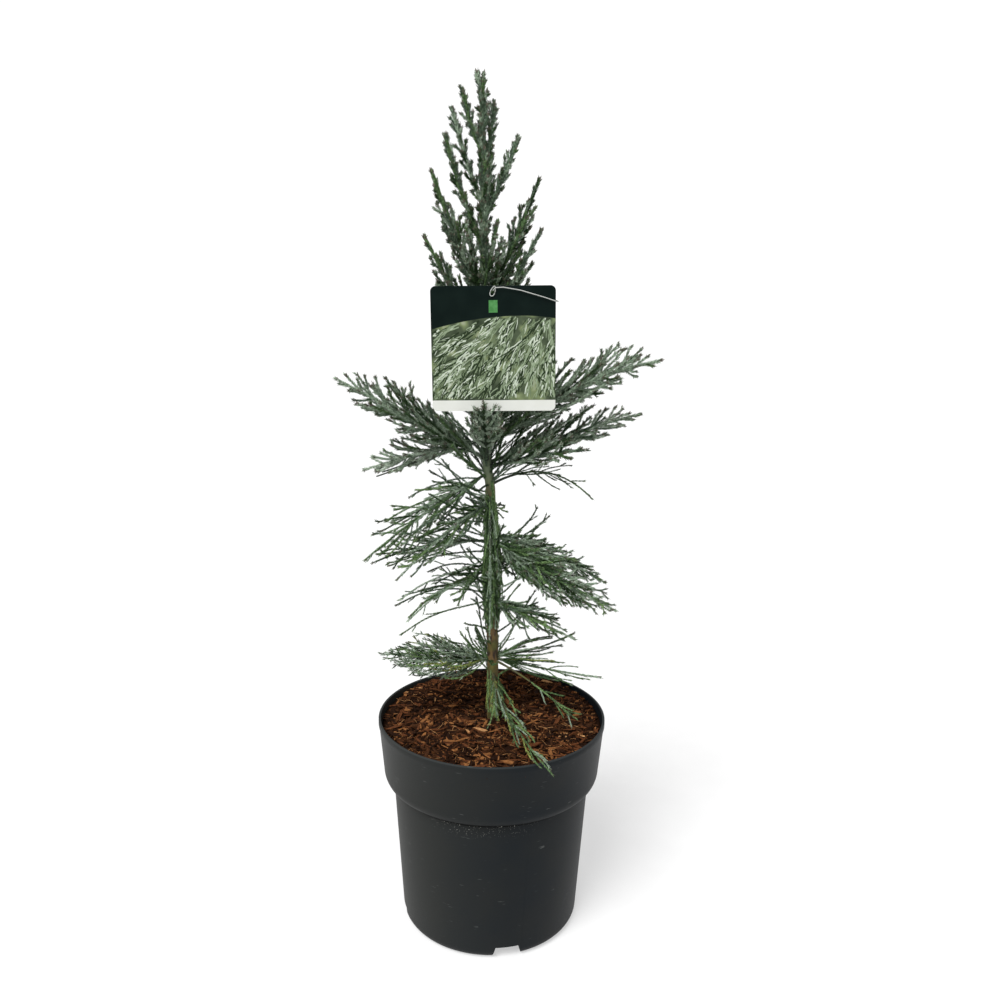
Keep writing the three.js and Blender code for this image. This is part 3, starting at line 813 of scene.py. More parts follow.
# How leaves vary in their gaps, spread, length, width and turn; how wide open the ones in a shoot's knob
# stand, how far from its tip and how long they are, against the others; how much of the shoot's radius their
# feet stand out, and how much of their length their tips turn out
LEAVES = {
    "gap": 0.8, "spread": (0.6, 1.4), "length": (0.75, 1.2), "width": (0.85, 1.15), "turn": 0.25,
    "open": (1.4, 3.1), "knob": (0.1, 2.4), "knob_length": 0.72, "foot": 0.75, "tip": 0.05}
# Stout twigs have more sides, and all end in a point
TWIG = {"stout": 1.2, "sides": 6, "thin_sides": 3, "point": 0.3}


def leaf_places(shoots, rng):
    """Where each leaf stands, the way its shoot runs there, its shoot's radius, whether it is at the tip, how
    wide open it stands and its shoot."""
    rows = []
    for number, (points, radii, leaf, _tint) in enumerate(shoots):
        length = line_length(points)
        count = max(FEWEST, int(length * leaf.crowd))
        share = (np.arange(count) + rng.uniform(0, LEAVES["gap"], count)) / count
        knob = 1 - rng.uniform(*LEAVES["knob"], leaf.knob) / length
        share = np.clip(np.append(share, knob), 0, 1)
        opened = np.append(np.ones(count), rng.uniform(*LEAVES["open"], len(knob)))
        rows.append((
            at_shares(points, share), at_shares(headings_of(points), share),
            np.interp(share, np.linspace(0, 1, len(points)), radii),
            (1 - share) * length < min(BRONZE_REACH[0] * length, BRONZE_REACH[1]),
            opened, np.full(len(share), number)))
    return (np.concatenate(part) for part in zip(*rows))


def leaves_piece(zone, shoots, rng):
    """All the leaves of a zone. The cords of the top have broad leaves, and the rest have awls."""
    places, ways, radii, tips, opens, owners = leaf_places(shoots, rng)
    count = len(places)
    kinds = np.array([shoot.leaf for shoot in shoots], float)[owners]
    ways = units(ways)
    across, up = side_ways(ways)
    turn = (np.arange(count) * GOLDEN + rng.normal(0, LEAVES["turn"], count))[:, None]
    out = across * np.cos(turn) + up * np.sin(turn)
    spread = np.radians(kinds[:, 3] * rng.uniform(*LEAVES["spread"], count) * opens)[:, None]
    heading = ways * np.cos(spread) + out * np.sin(spread)
    outer = out * np.cos(spread) - ways * np.sin(spread)
    wide = np.cross(heading, outer)
    shorter = np.where(opens > 1, LEAVES["knob_length"], 1)
    length = (kinds[:, 0] * rng.uniform(*LEAVES["length"], count) * shorter)[:, None]
    half = (kinds[:, 1] * rng.uniform(*LEAVES["width"], count) / 2)[:, None]
    base = places + out * radii[:, None] * LEAVES["foot"]
    tip = base + heading * length + outer * length * LEAVES["tip"]
    if zone in ("top", "upper"):
        waist = base + heading * length * BROAD["waist"]
        keel = base + heading * length * BROAD["keel"] + outer * half * BROAD["thick"]
        corners = np.stack([base, waist + wide * half, waist - wide * half, keel, tip], 1)
        pattern = BROAD_FACES
    else:
        keel = base + outer * half * AWL["thick"] + heading * length * AWL["keel"]
        corners = np.stack([base + wide * half, base - wide * half, keel, tip], 1)
        pattern = AWL_FACES
    faces = repeated(pattern, corners.shape[1], count)
    tints = np.array([shoot.tint for shoot in shoots])[owners]
    tints[tips & (rng.uniform(0, 1, count) < BRONZE_TIPS[zone])] = TINT["bronze"]
    picks = np.repeat(tints, len(pattern))
    return make_piece(f"leaves_{zone}", corners.reshape(-1, 3), faces, leaf_materials, picks, smooth=False)


def twigs_piece(zone, shoots):
    parts = []
    for shoot in shoots:
        sides = TWIG["sides"] if shoot.radii[0] > TWIG["stout"] else TWIG["thin_sides"]
        radii = np.append(shoot.radii[:-1], shoot.radii[-1] * TWIG["point"])
        parts.append((*tube(shoot.points, radii, sides), shoot.tint))
    return joined_piece(f"twigs_{zone}", parts, twig_materials)


# ---- Materials ----

FLOAT = "NodeSocketFloat"
COLOUR = "NodeSocketColor"
# The share of the noise where a blotch starts, and where it is full
BLOTCH_EDGE = (0.38, 0.66)


def new_material(name):
    material = bpy.data.materials.new(name)
    material.use_nodes = True
    return material, material.node_tree, material.node_tree.nodes["Principled BSDF"]


def new_group(name, inputs, outputs):
    """A shader node group with its inputs as {name: (kind, value)}."""
    group = bpy.data.node_groups.new(name, "ShaderNodeTree")
    for label, (kind, value) in inputs.items():
        socket = group.interface.new_socket(label, in_out="INPUT", socket_type=kind)
        socket.default_value = value
    for label, kind in outputs.items():
        group.interface.new_socket(label, in_out="OUTPUT", socket_type=kind)
    return group, group.nodes.new("NodeGroupInput").outputs, group.nodes.new("NodeGroupOutput")


def mottle_group():
    """Two colours in soft blotches, with a mask of them."""
    group, ins, outs = new_group(
        "mottle",
        {"Colour": (COLOUR, WHITE), "Blotch": (COLOUR, WHITE), "Scale": (FLOAT, 100.0),
         "Amount": (FLOAT, 0.5)},
        {"Colour": COLOUR, "Mask": FLOAT})
    place = object_place(group)
    cloud = add_node(group, "TexNoise", {"Vector": place, "Scale": ins["Scale"], "Detail": 4})
    mask = times(group, between(group, cloud.outputs["Fac"], *BLOTCH_EDGE), ins["Amount"])
    feed(group, outs, {"Colour": mixed(group, mask, ins["Colour"], ins["Blotch"]), "Mask": mask})
    return group


def fibre_group():
    """Streaks along one way, as a mask: fine bark or wood fibre."""
    group, ins, outs = new_group(
        "fibre",
        {"Stretch": ("NodeSocketVector", (900.0, 900.0, 120.0)), "Sharpness": (FLOAT, 0.15)},
        {"Mask": FLOAT})
    place = add_node(group, "Mapping", {"Vector": object_place(group), "Scale": ins["Stretch"]})
    streak = add_node(group, "TexNoise", {"Vector": place.outputs["Vector"], "Scale": 1, "Detail": 5})
    low = add_node(group, "Math", {0: 0.5, 1: ins["Sharpness"]}, operation="SUBTRACT").outputs[0]
    high = add_node(group, "Math", {0: 0.5, 1: ins["Sharpness"]}, operation="ADD").outputs[0]
    feed(group, outs, {"Mask": between(group, streak.outputs["Fac"], low, high)})
    return group


MOTTLE = mottle_group()
FIBRE = fibre_group()


def mottled(tree, colour, blotch, scale, amount):
    """The colour and the mask of a mottle."""
    values = {"Colour": (*colour, 1), "Blotch": (*blotch, 1), "Scale": scale, "Amount": amount}
    return add_node(tree, "Group", values, node_tree=MOTTLE).outputs


def fibred(tree, stretch, sharpness):
    values = {"Stretch": stretch, "Sharpness": sharpness}
    return add_node(tree, "Group", values, node_tree=FIBRE).outputs["Mask"]


def bumped(tree, height, strength, depth):
    """The normal of a relief of that depth in millimetres."""
    values = {"Height": height, "Strength": strength, "Distance": depth * MM}
    return add_node(tree, "Bump", values).outputs["Normal"]


def speckled(tree, scale, low, high, place=None):
    """A mask of noise, spread over the whole piece or laid by the places given."""
    inputs = {"Scale": scale, "Vector": place} if place else {"Scale": scale}
    return between(tree, add_node(tree, "TexNoise", inputs).outputs["Fac"], low, high)


# How a leaf's colour is darkened, and brightened where it has its waxy bloom
LEAF_SHADES = {"dark": 0.62, "pale": 1.75, "bloom": 0.012, "scale": 480.0, "amount": 0.9}


def leaf_material(name, colour):
    """Green with a paler bloom in small blotches."""
    material, tree, shader = new_material(name)
    dark = [LEAF_SHADES["dark"] * c for c in colour]
    pale = [min(1, LEAF_SHADES["pale"] * c + LEAF_SHADES["bloom"]) for c in colour]
    bloom = mottled(tree, dark, pale, LEAF_SHADES["scale"], LEAF_SHADES["amount"])
    feed(tree, shader, {"Base Color": bloom["Colour"], "Roughness": 0.55, "Specular IOR Level": 0.1})
    return material


# Olive moss on bark, as its colour, the scale of its blotches and how much of it shows
MOSS = ((0.085, 0.085, 0.012), 110.0, 0.75)
# How bright the blotches of green bark are against it, their scale and how much of them shows
GREEN_SKIN = (1.6, 160.0, 0.7)


def bark_material(name, colour, ridge, green, levels):
    """Fibrous bark with moss on it, which turns to green skin between two heights."""
    material, tree, shader = new_material(name)
    streak = fibred(tree, stretch=(300.0, 300.0, 80.0), sharpness=0.07)
    bark = mixed(tree, streak, (*colour, 1), (*ridge, 1))
    moss = mottled(tree, (0, 0, 0), (1, 1, 1), *MOSS[1:])["Mask"]
    bark = mixed(tree, moss, bark, (*MOSS[0], 1))
    height = add_node(tree, "SeparateXYZ", {0: object_place(tree)}).outputs["Z"]
    rise = between(tree, height, *(level * MM for level in levels))
    skin = mottled(tree, green, [GREEN_SKIN[0] * c for c in green], *GREEN_SKIN[1:])["Colour"]
    normal = bumped(tree, streak, strength=0.5, depth=0.4)
    feed(tree, shader, {"Base Color": mixed(tree, rise, bark, skin), "Normal": normal, "Roughness": 0.78})
    return material


def plastic_material(name, colour, dust):
    """Moulded plastic with a fine grain, and dust in wide blotches."""
    material, tree, shader = new_material(name)
    grain = add_node(tree, "TexNoise", {"Scale": 900}).outputs["Fac"]
    feed(tree, shader, {
        "Base Color": mottled(tree, colour, dust, scale=22.0, amount=0.6)["Colour"],
        "Normal": bumped(tree, grain, strength=0.15, depth=0.2),
        "Roughness": 0.5, "Specular IOR Level": 0.115, "Specular Tint": (1, 0.95, 0.84, 1)})
    return material


# Marks on the pot: the colour of each, and how much of it shows. Besides real scratches and dust, they paint
# light on the left side, shade under the collar and a highlight on the rim.
MARKS = {
    # Painted light: the plastic is lighter towards its left, where the key light falls on it
    "painted_left_light": ((0.0198, 0.0212, 0.0196), 0.85),
    "scratch": ((0.16, 0.17, 0.165), 0.3),
    # Painted shade: a near-black band under the collar, where shade falls
    "painted_crease_shade": ((0.0006, 0.0007, 0.0008), 1),
    "dust": ((0.3, 0.3, 0.27), 0.9),
    # Painted highlight: a lighter band along the top of the rim, where light catches it
    "rim": ((0.05, 0.056, 0.057), 0.4),
}
# Where each mask comes in over the pot: between these heights, or these places across it. The painted light
# on the left, the painted shade under the collar and the painted highlight on the rim come in here as well.
MASK_ENDS = {
    "painted_left_light": ("X", 20, -90), "crease_foot": ("Z", 147.6, 148.8), "crease_top": ("Z", 154.5, 152.2),
    "dust_foot": ("Z", 134, 147), "dust_top": ("Z", 153, 151), "dust_left": ("X", -60, -40),
    "dust_right": ("X", 50, 30), "rim": ("Z", 214.6, 215.8)}
# The scale of the level scratches along each axis
SCRATCH_LAY = (70, 70, 900)
# The scale of each noise on the pot, and the shares of it between which the mask comes in: short dashes, the
# rare patches that have them, and dots of dust
DASHES = (1, 0.67, 0.72)
PATCHES = (16, 0.56, 0.62)
DOTS = (200, 0.67, 0.69)


def scuffs_and_painted_light(material):
    """Lightens the pot's plastic towards its left as painted light, paints shade under its collar and dulls
    it there, and adds level scratches, specks of dust below the collar and a painted highlight on the rim."""
    tree = material.node_tree
    shader = tree.nodes["Principled BSDF"]
    place = object_place(tree)
    apart = add_node(tree, "SeparateXYZ", {0: place})
    ends = {name: between(tree, apart.outputs[way], low * MM, high * MM)
            for name, (way, low, high) in MASK_ENDS.items()}
    lay = add_node(tree, "Mapping", {"Vector": place, "Scale": SCRATCH_LAY}).outputs["Vector"]
    # The masks on the left side, under the collar and on the rim paint light, shade and a highlight; the
    # scratches and dust are real marks.
    masks = {
        "painted_left_light": ends["painted_left_light"],
        "scratch": times(tree, speckled(tree, *DASHES, lay), speckled(tree, *PATCHES)),
        "painted_crease_shade": times(tree, ends["crease_foot"], ends["crease_top"]),
        "dust": times(tree, speckled(tree, *DOTS), ends["dust_foot"], ends["dust_top"], ends["dust_left"],
                      ends["dust_right"]),
        "rim": ends["rim"],
    }
    colour = shader.inputs["Base Color"].links[0].from_socket
    for name, (tint, share) in MARKS.items():
        colour = mixed(tree, times(tree, masks[name], share), colour, (*tint, 1))
    dull = add_node(tree, "MapRange", {
        "Value": masks["painted_crease_shade"], "To Min": shader.inputs["Roughness"].default_value})
    feed(tree, shader, {"Base Color": colour, "Roughness": dull.outputs["Result"]})
    return material


def chip_material(name, colour):
    """Bark or wood with paler grain."""
    material, tree, shader = new_material(name)
    pale = [CHIP_PALE["times"] * c + CHIP_PALE["more"] for c in colour]
    grain = fibred(tree, stretch=(500.0, 500.0, 500.0), sharpness=0.2)
    wood = mixed(tree, grain, (*colour, 1), (*pale, 1))
    feed(tree, shader, {"Base Color": wood, "Roughness": 0.7, "Specular IOR Level": 0.03})
    return material


# The blurred ground of the label's print: the share of the noise where each colour stands
GROUND = {
    0.36: (0.025, 0.036, 0.02), 0.5: (0.06, 0.08, 0.045), 0.6: (0.15, 0.19, 0.09), 0.72: (0.34, 0.36, 0.27)}


def picture_material():
    """Dark and light greens out of focus, behind the print's fronds."""
    material, tree, shader = new_material("label_picture")
    blur = add_node(tree, "TexNoise", {"Vector": object_place(tree), "Scale": 62, "Detail": 2})
    ramp = add_node(tree, "ValToRGB", {"Fac": blur.outputs["Fac"]})
    stops = ramp.color_ramp.elements
    for position, colour in GROUND.items():
        stops.new(position).color = (*colour, 1)
    stops.remove(stops[0])
    stops.remove(stops[-1])
    feed(tree, shader, {
        "Base Color": ramp.outputs["Color"], "Roughness": 0.35, "Specular IOR Level": 0.1})
    return material


def printed_material(name, colour, blotch, scale, amount):
    material, tree, shader = new_material(name)
    ink = mottled(tree, colour, blotch, scale, amount)
    feed(tree, shader, {"Base Color": ink["Colour"], "Roughness": 0.35, "Specular IOR Level": 0.04})
    return material


CHIP_PALE = {"times": 1.7, "more": 0.004}
CHIP_TINTS = {
    "dark_bark": (0.0105, 0.0037, 0.0014), "bark_brown": (0.03, 0.011, 0.0038),
    "red_brown": (0.07, 0.024, 0.0085), "coir_brown": (0.16, 0.066, 0.022), "tan": (0.3, 0.155, 0.065),
}
FROND_TINTS = {
    "silver": (0.46, 0.52, 0.42), "sage": (0.22, 0.28, 0.18), "mist": (0.12, 0.16, 0.09),
    "shade": (0.02, 0.032, 0.015),
}
# How bright twigs are against their leaves, and the blotches on the print's fronds against the fronds
TWIG_SHADE = 0.75
FROND_SHADE = 0.8

leaf_materials = [leaf_material(f"leaf_{name}", colour) for name, colour in TINTS.items()]
twig_materials = [leaf_material(f"twig_{name}", [TWIG_SHADE * c for c in colour])
                  for name, colour in TINTS.items()]
bark = bark_material(
    "bark", colour=(0.018, 0.009, 0.0036), ridge=(0.115, 0.066, 0.019), green=(0.09, 0.116, 0.066),
    levels=(436, 464))
limb_bark = bark_material(
    "limb_bark", colour=(0.014, 0.014, 0.009), ridge=(0.05, 0.047, 0.026), green=(0.018, 0.026, 0.016),
    levels=(300, 420))
plastic = scuffs_and_painted_light(plastic_material("pot_plastic", (0.0058, 0.0085, 0.0112), (0.0094, 0.011, 0.0115)))
chip_materials = [chip_material(f"chip_{name}", colour) for name, colour in CHIP_TINTS.items()]
label_header = printed_material("label_header", (0.003, 0.007, 0.006), (0.006, 0.012, 0.01), 60.0, 0.5)
label_green = printed_material("label_green", (0.05, 0.17, 0.05), (0.09, 0.26, 0.09), 300.0, 0.7)
label_paper = printed_material("label_paper", (0.55, 0.56, 0.52), (0.6, 0.61, 0.58), 60.0, 0.5)
loop_plastic = printed_material("loop_plastic", (0.36, 0.37, 0.35), (0.48, 0.48, 0.46), 300.0, 0.5)
label_picture = picture_material()
frond_materials = [printed_material(f"frond_{name}", colour, [FROND_SHADE * c for c in colour], 300.0, 0.6)
                   for name, colour in FROND_TINTS.items()]


# ---- The plant's pieces ----

BARK = {"step": 1.4, "sides": 24, "relief": 0.35, "tip": 0.3}
# The scale of the bark's relief round a stem and along its height, and how rough it is, how much finer each
# octave is than the last, and how many there are
RELIEF = {"around": 1.6, "along": 0.09, "fractal": (0.9, 2.1, 4)}
# Limbs run this share of their line into their mass, with so many points to a millimetre. Their radius falls
# as they go, and outside the great and middle zones they have the slim share of it.
LIMB = {
    "hidden": 0.45, "points": 0.5, "least": 8, "at": (0, 0.06, 0.3, 1), "radii": (2.6, 1.8, 1.3, 0.6),
    "slim": 0.72, "sides": 10, "relief": 0.15}
# Bare forks on the underside of a limb: the share of the limb where each stands, how far it points below the
# limb, in degrees, and its length
FORKS = {"middle_left": ((0.2, 13, 90), (0.34, 12, 66)), "middle_right": ((0.3, 14, 60),)}
FORK = {"radii": (1.25, 0.7), "lift": 0.12, "sway": 0.02}


def make_plant():
    """Leaves and twigs by zone. Gives each bough's name, its line and the share where its mass begins."""
    zones = {zone: ([], []) for zone in dict.fromkeys(ZONE_OF.values())}
    limbs = []
    for number, name in enumerate(MASSES):
        if name == "leader":
            shoots = grow_leader()
        else:
            shoots, line, begins = grow_bough(name, seeded(number))
            limbs.append((name, line, begins))
        zones[zone_of(name)][0].extend(shoots)
        zones[zone_of(name)][1].append(f"foliage_{name}")
    zones["core"] = (grow_brush(CORE), [])
    hung = [shoot for curtain in CURTAINS for shoot in grow_curtain(curtain)]
    zones["trunk"] = (hung + [shoot for brush in BRUSHES for shoot in grow_brush(brush)], [])
    for number, (zone, (shoots, nodes)) in enumerate(zones.items()):
        settle(leaves_piece(zone, shoots, seeded(SEEDS["leaves"] + number)), nodes)
        settle(twigs_piece(zone, shoots))
    return limbs


def bark_relief(depth):
    def rough(points, turn):
        relief = np.zeros((len(points), len(turn)))
        around = RELIEF["around"]
        for i, point in enumerate(points):
            for k, angle in enumerate(turn):
                spot = (math.cos(angle) * around, math.sin(angle) * around, point[2] * RELIEF["along"])
                relief[i, k] = noise.fractal(Vector(spot), *RELIEF["fractal"])
        return relief * depth
    return rough


def make_trunk():
    levels = np.arange(trunk_levels[0], trunk_levels[-1], BARK["step"])
    radii = trunk_reach(levels)
    radii[-1] = BARK["tip"]
    corners, faces = tube(trunk_points(levels), radii, BARK["sides"], bark_relief(BARK["relief"]))
    trunk = make_piece("trunk_bark", corners, faces, [bark])
    settle(trunk, ["trunk"])


def make_limbs(limbs):
    rng = seeded(SEEDS["limbs"])
    stems = []
    for name, line, begins in limbs:
        count = max(LIMB["least"], int(line_length(line) * LIMB["points"]))
        shares = np.linspace(0, min(1, begins + LIMB["hidden"]), count)
        stout = 1 if zone_of(name) in ("great", "middle") else LIMB["slim"]
        stems.append((at_shares(line, shares), np.interp(shares, LIMB["at"], LIMB["radii"]) * stout))
        for share, angle, reach in FORKS.get(name, ()):
            foot, along = at_share(line, share)
            heading = unit(along - Z * math.tan(math.radians(angle)))
            fork = grown_line(foot, heading, reach, Z * FORK["lift"], FORK["sway"], rng)
            stems.append((fork, np.linspace(*FORK["radii"], len(fork))))
    relief = bark_relief(LIMB["relief"])
    parts = [(*tube(points, radii, LIMB["sides"], relief), 0) for points, radii in stems]
    piece = joined_piece("limb_bark", parts, [limb_bark])
    settle(piece, [name for name in NODES if name.startswith("bough_")])


# ---- Pot ----

# Edges sharper than edge, in degrees, aren't smoothed
POT = {"wall": 1.8, "floor": 2.0, "sides": 168, "foot_steps": 8, "collar_steps": 10, "edge": 40}
# The groove under the collar: how deep it is, and how far below the body's top it starts and ends
GROOVE = {"deep": 0.5, "start": 2.5, "end": 0.6}
# The rolled lip, as steps out and up from the rim's outer edge, and how far its inner side stands below it
LIP = [(-0.25, -7), (0.5, -5.5), (0.5, -0.8), (0.2, -0.2), (-0.3, 0), (-1.4, 0)]
LIP_INSIDE = 0.4
# The drain channels under the floor: the angle of the first in degrees, how far from the middle they start,
# their width at the bottom and the top, their height, the skin over them, and how far the cut passes below
CHANNEL = {
    "count": 4, "first": -78, "inner": 42, "bottom": 30, "top": 23, "height": 13, "skin": 2, "below": 1}
HOLE = {"radius": 4, "sides": 24, "length": 8, "drop": 3}


def pot_line():
    """The pot's outer sizes from the model, as (radius, height) of its foot, body and collar."""
    rings = rings_of("pot")
    line = [(float(np.linalg.norm(ring[:, :2], axis=1).max()), z) for z, ring in rings.items()]
    low = [point for point in line if point[1] < line[-1][1] / 2]
    high = [point for point in line if point[1] > line[-1][1] / 2]
    body_foot = max(low, key=lambda point: point[0])
    return {
        "foot": line[0], "body_foot": body_foot, "body_top": high[0], "collar_foot": line[-2],
        "rim": line[-1]}


def rounded(first, last, count):
    """A quarter round from first to last, which sets off level."""
    points = []
    for angle in np.linspace(0, math.pi / 2, count + 1):
        out, up = math.sin(angle), 1 - math.cos(angle)
        points.append((first[0] + (last[0] - first[0]) * out, first[1] + (last[1] - first[1]) * up))
    return points


def circle(radius, sides):
    """Points round a circle, as pairs."""
    return [(radius * math.cos(a), radius * math.sin(a)) for a in turns(sides)]


def lathe(name, profile, sides, materials):
    """A closed solid of revolution from (radius, height) points that start and end on the axis."""
    inner = profile[1:-1]
    corners = [[r * math.cos(a), r * math.sin(a), z] for r, z in inner for a in turns(sides)]
    corners += [[0, 0, profile[0][1]], [0, 0, profile[-1][1]]]
    bottom, top, last = len(corners) - 2, len(corners) - 1, (len(inner) - 1) * sides
    faces = []
    for k in range(len(inner) - 1):
        for j in range(sides):
            low, nxt = k * sides + j, k * sides + (j + 1) % sides
            faces += [[low, nxt, nxt + sides], [low, nxt + sides, low + sides]]
    for j in range(sides):
        faces += [[bottom, (j + 1) % sides, j], [top, last + j, last + (j + 1) % sides]]
    return make_piece(name, corners, faces, materials)


def prism(outline, depth):
    """Corners and triangles of a convex outline in X and Z, pushed along Y by depth."""
    count = len(outline)
    corners = [(x, y, z) for y in (0, depth) for x, z in outline]
    faces = [[0, k, k + 1] for k in range(1, count - 1)]
    faces += [[count, count + k + 1, count + k] for k in range(1, count - 1)]
    for k in range(count):
        n = (k + 1) % count
        faces += [[k, k + count, n + count], [k, n + count, n]]
    return np.array(corners, float), np.array(faces)


def channel_ways():
    """Out along each drain channel, and across it."""
    for k in range(CHANNEL["count"]):
        angle = math.radians(CHANNEL["first"] + k * 360 / CHANNEL["count"])
        out = np.array([math.cos(angle), math.sin(angle), 0])
        yield out, np.cross(out, Z)


def bars(name, grow, foot, inner, outer):
    """The drain channels as bars that run out under the floor, grown on their tops and sides."""
    low, top, height = CHANNEL["bottom"] / 2 + grow, CHANNEL["top"] / 2 + grow, CHANNEL["height"] + grow
    bar, faces = prism([(-low, foot), (low, foot), (top, height), (-top, height)], outer - inner)
    bar[:, 1] += inner
    parts = [(bar[:, 1:2] * out + bar[:, :1] * across + bar[:, 2:] * Z, faces, 0)
             for out, across in channel_ways()]
    return joined_piece(name, parts, [])


def drills(name, reach):
    """The drain holes through the channels' tops, as solids."""
    drill, faces = prism(circle(HOLE["radius"], HOLE["sides"]), HOLE["length"])
    upright = np.stack([drill[:, 0], -drill[:, 2], drill[:, 1]], 1)
    foot = Z * (CHANNEL["height"] - HOLE["drop"])
    parts = [(upright + out * reach + foot, faces, 0) for out, _across in channel_ways()]
    return joined_piece(name, parts, [])


def combine(piece, other, operation):
    """Joins another solid to a piece, or cuts it out."""
    step = piece.modifiers.new(operation, "BOOLEAN")
    step.operation = operation
    step.solver = "EXACT"
    step.object = other
    graph = bpy.context.evaluated_depsgraph_get()
    mesh = bpy.data.meshes.new_from_object(piece.evaluated_get(graph))
    piece.modifiers.clear()
    piece.data = mesh
    bpy.data.objects.remove(other)


def make_pot():
    line = pot_line()
    foot, body_foot, body_top, collar_foot, rim = line.values()
    wall, floor = POT["wall"], POT["floor"]
    outer = rounded(foot, body_foot, POT["foot_steps"])
    outer += [(body_top[0] - GROOVE["deep"], body_top[1] - GROOVE[end]) for end in ("start", "end")]
    outer += rounded(body_top, collar_foot, POT["collar_steps"])
    outer += [(rim[0] + out, rim[1] + up) for out, up in LIP]
    inner = [(rim[0] - wall, rim[1] - LIP_INSIDE)]
    inner += [(r - wall, z) for r, z in (collar_foot, body_top, body_foot)]
    inner += [(foot[0], floor)]
    pot = lathe("pot_shell", [(0, 0), *outer, *inner, (0, floor)], POT["sides"], [plastic])
    form = lathe("pot_form", [(0, 0), *outer, (0, rim[1])], POT["sides"], [plastic])
    skin = CHANNEL["skin"]
    covers = bars("covers", skin, floor / 2, CHANNEL["inner"] - skin, body_foot[0] - wall / 2)
    combine(pot, covers, "UNION")
    combine(pot, form, "INTERSECT")
    combine(pot, bars("channels", 0, -CHANNEL["below"], CHANNEL["inner"], body_top[0]), "DIFFERENCE")
    combine(pot, drills("drills", (CHANNEL["inner"] + body_foot[0]) / 2), "DIFFERENCE")
    pot.data.set_sharp_from_angle(angle=math.radians(POT["edge"]))
    settle(pot, ["pot"])


# ---- Soil ----

# The soil is flat in the middle, then falls a little to its shoulder and more to the wall. At the back it is
# heaped higher, from one share of its radius and over another.
SOIL = {
    "flat": 14, "heap": 9.5, "heap_from": 0.35, "heap_over": 0.5, "shoulder": 0.6, "shoulder_drop": 1.5,
    "edge_drop": 5.0, "edge": 6, "foot": 17, "side_gap": 4, "side_top": 14, "rings": 46, "sides": 120}
# The bed's surface lies below the chips, and is uneven by so much, with so many bumps to a metre, down to a
# depth below the soil's top
BED = {"below": 0.8, "rough": 1.5, "bumps": 160, "depth": 12}
# Chips of bark: their sizes, which vary by the spreads of their logarithms, how far they stay from the wall,
# how they lie, in radians, and the share of their outline that their upper side has
CHIPS = {
    "count": 3500, "length": 10.0, "longest": 30, "length_spread": 0.5, "width": 3.1, "width_spread": 0.4,
    "widest": 0.6, "thick": 0.9, "thickness": (0.5, 1.5), "corners": 5, "wall_gap": 2, "end_gap": 0.35,
    "level": (-1.2, 1.6), "tilt": 0.16, "roll": 0.35, "skew": 0.35, "far": (0.8, 1.1), "out": (0.6, 1.1),
    "upper": 0.86}
CHIP_SHARES = (0.4, 0.34, 0.2, 0.055, 0.005)
# Where the bark is freshly cut, in patches and more towards the front, its chips are larger and redder
FRESH = {
    "patches": 0.035, "layer": 4.0, "front": 0.3, "stray": 0.12, "above": 0.3, "longer": 1.5, "wider": 1.2}
FRESH_SHARES = (0.26, 0.22, 0.26, 0.24, 0.02)
FIBRES = {
    "count": 900, "length": 9, "lengths": (0.4, 1.4), "radius": 0.22, "wall_gap": 7, "level": (0.4, 1.8),
    "rise": 0.08, "bend": 0.5, "droop": -0.05, "sway": 0.2, "sides": 3, "tints": (1, 2, 3, 4)}


def soil_height(reach, y, radius, top):
    """The soil's level that far from the middle, at a place that far back."""
    places = [0, SOIL["flat"], radius * SOIL["shoulder"], radius]
    level = np.interp(reach, places, [top, top, top - SOIL["shoulder_drop"], top - SOIL["edge_drop"]])
    back = np.clip(y / np.maximum(reach, 1), 0, 1)
    out = np.clip((reach / radius - SOIL["heap_from"]) / SOIL["heap_over"], 0, 1)
    return level + SOIL["heap"] * back * out


def soil_sizes():
    """The radius of the soil's surface, and its height."""
    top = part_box("soil")[1].z / MM
    corners = corners_of("soil")
    edge = corners[corners[:, 2] > top - SOIL["edge"]]
    return float(np.linalg.norm(edge[:, :2], axis=1).max()), float(top)


def make_soil():
    rng = seeded(SEEDS["soil"])
    radius, top = soil_sizes()
    line = pot_line()
    side = [(line["body_foot"][0] - SOIL["side_gap"], SOIL["foot"])]
    side += [(line["body_top"][0] - SOIL["side_gap"], line["body_top"][1]), (radius, top - SOIL["side_top"])]
    reach = np.linspace(radius, 1, SOIL["rings"])
    profile = [(0, SOIL["foot"]), *side, *zip(reach, soil_height(reach, 0, radius, top)), (0, top)]
    bed = lathe("soil_bed", profile, SOIL["sides"], [chip_materials[0]])
    for corner in bed.data.vertices:
        if corner.co.z > (top - BED["depth"]) * MM:
            spot = corner.co / MM
            level = soil_height(spot.xy.length, spot.y, radius, top) - BED["below"]
            corner.co.z = (level + noise.noise(corner.co * BED["bumps"]) * BED["rough"]) * MM
    settle(bed, ["soil"])
    make_chips(radius, top, rng)
    make_fibres(radius, top, rng)


def scattered(count, radius, rng):
    reach = radius * np.sqrt(rng.uniform(0, 1, count))
    angle = rng.uniform(0, 2 * math.pi, count)
    return np.stack([reach * np.cos(angle), reach * np.sin(angle)], 1), reach


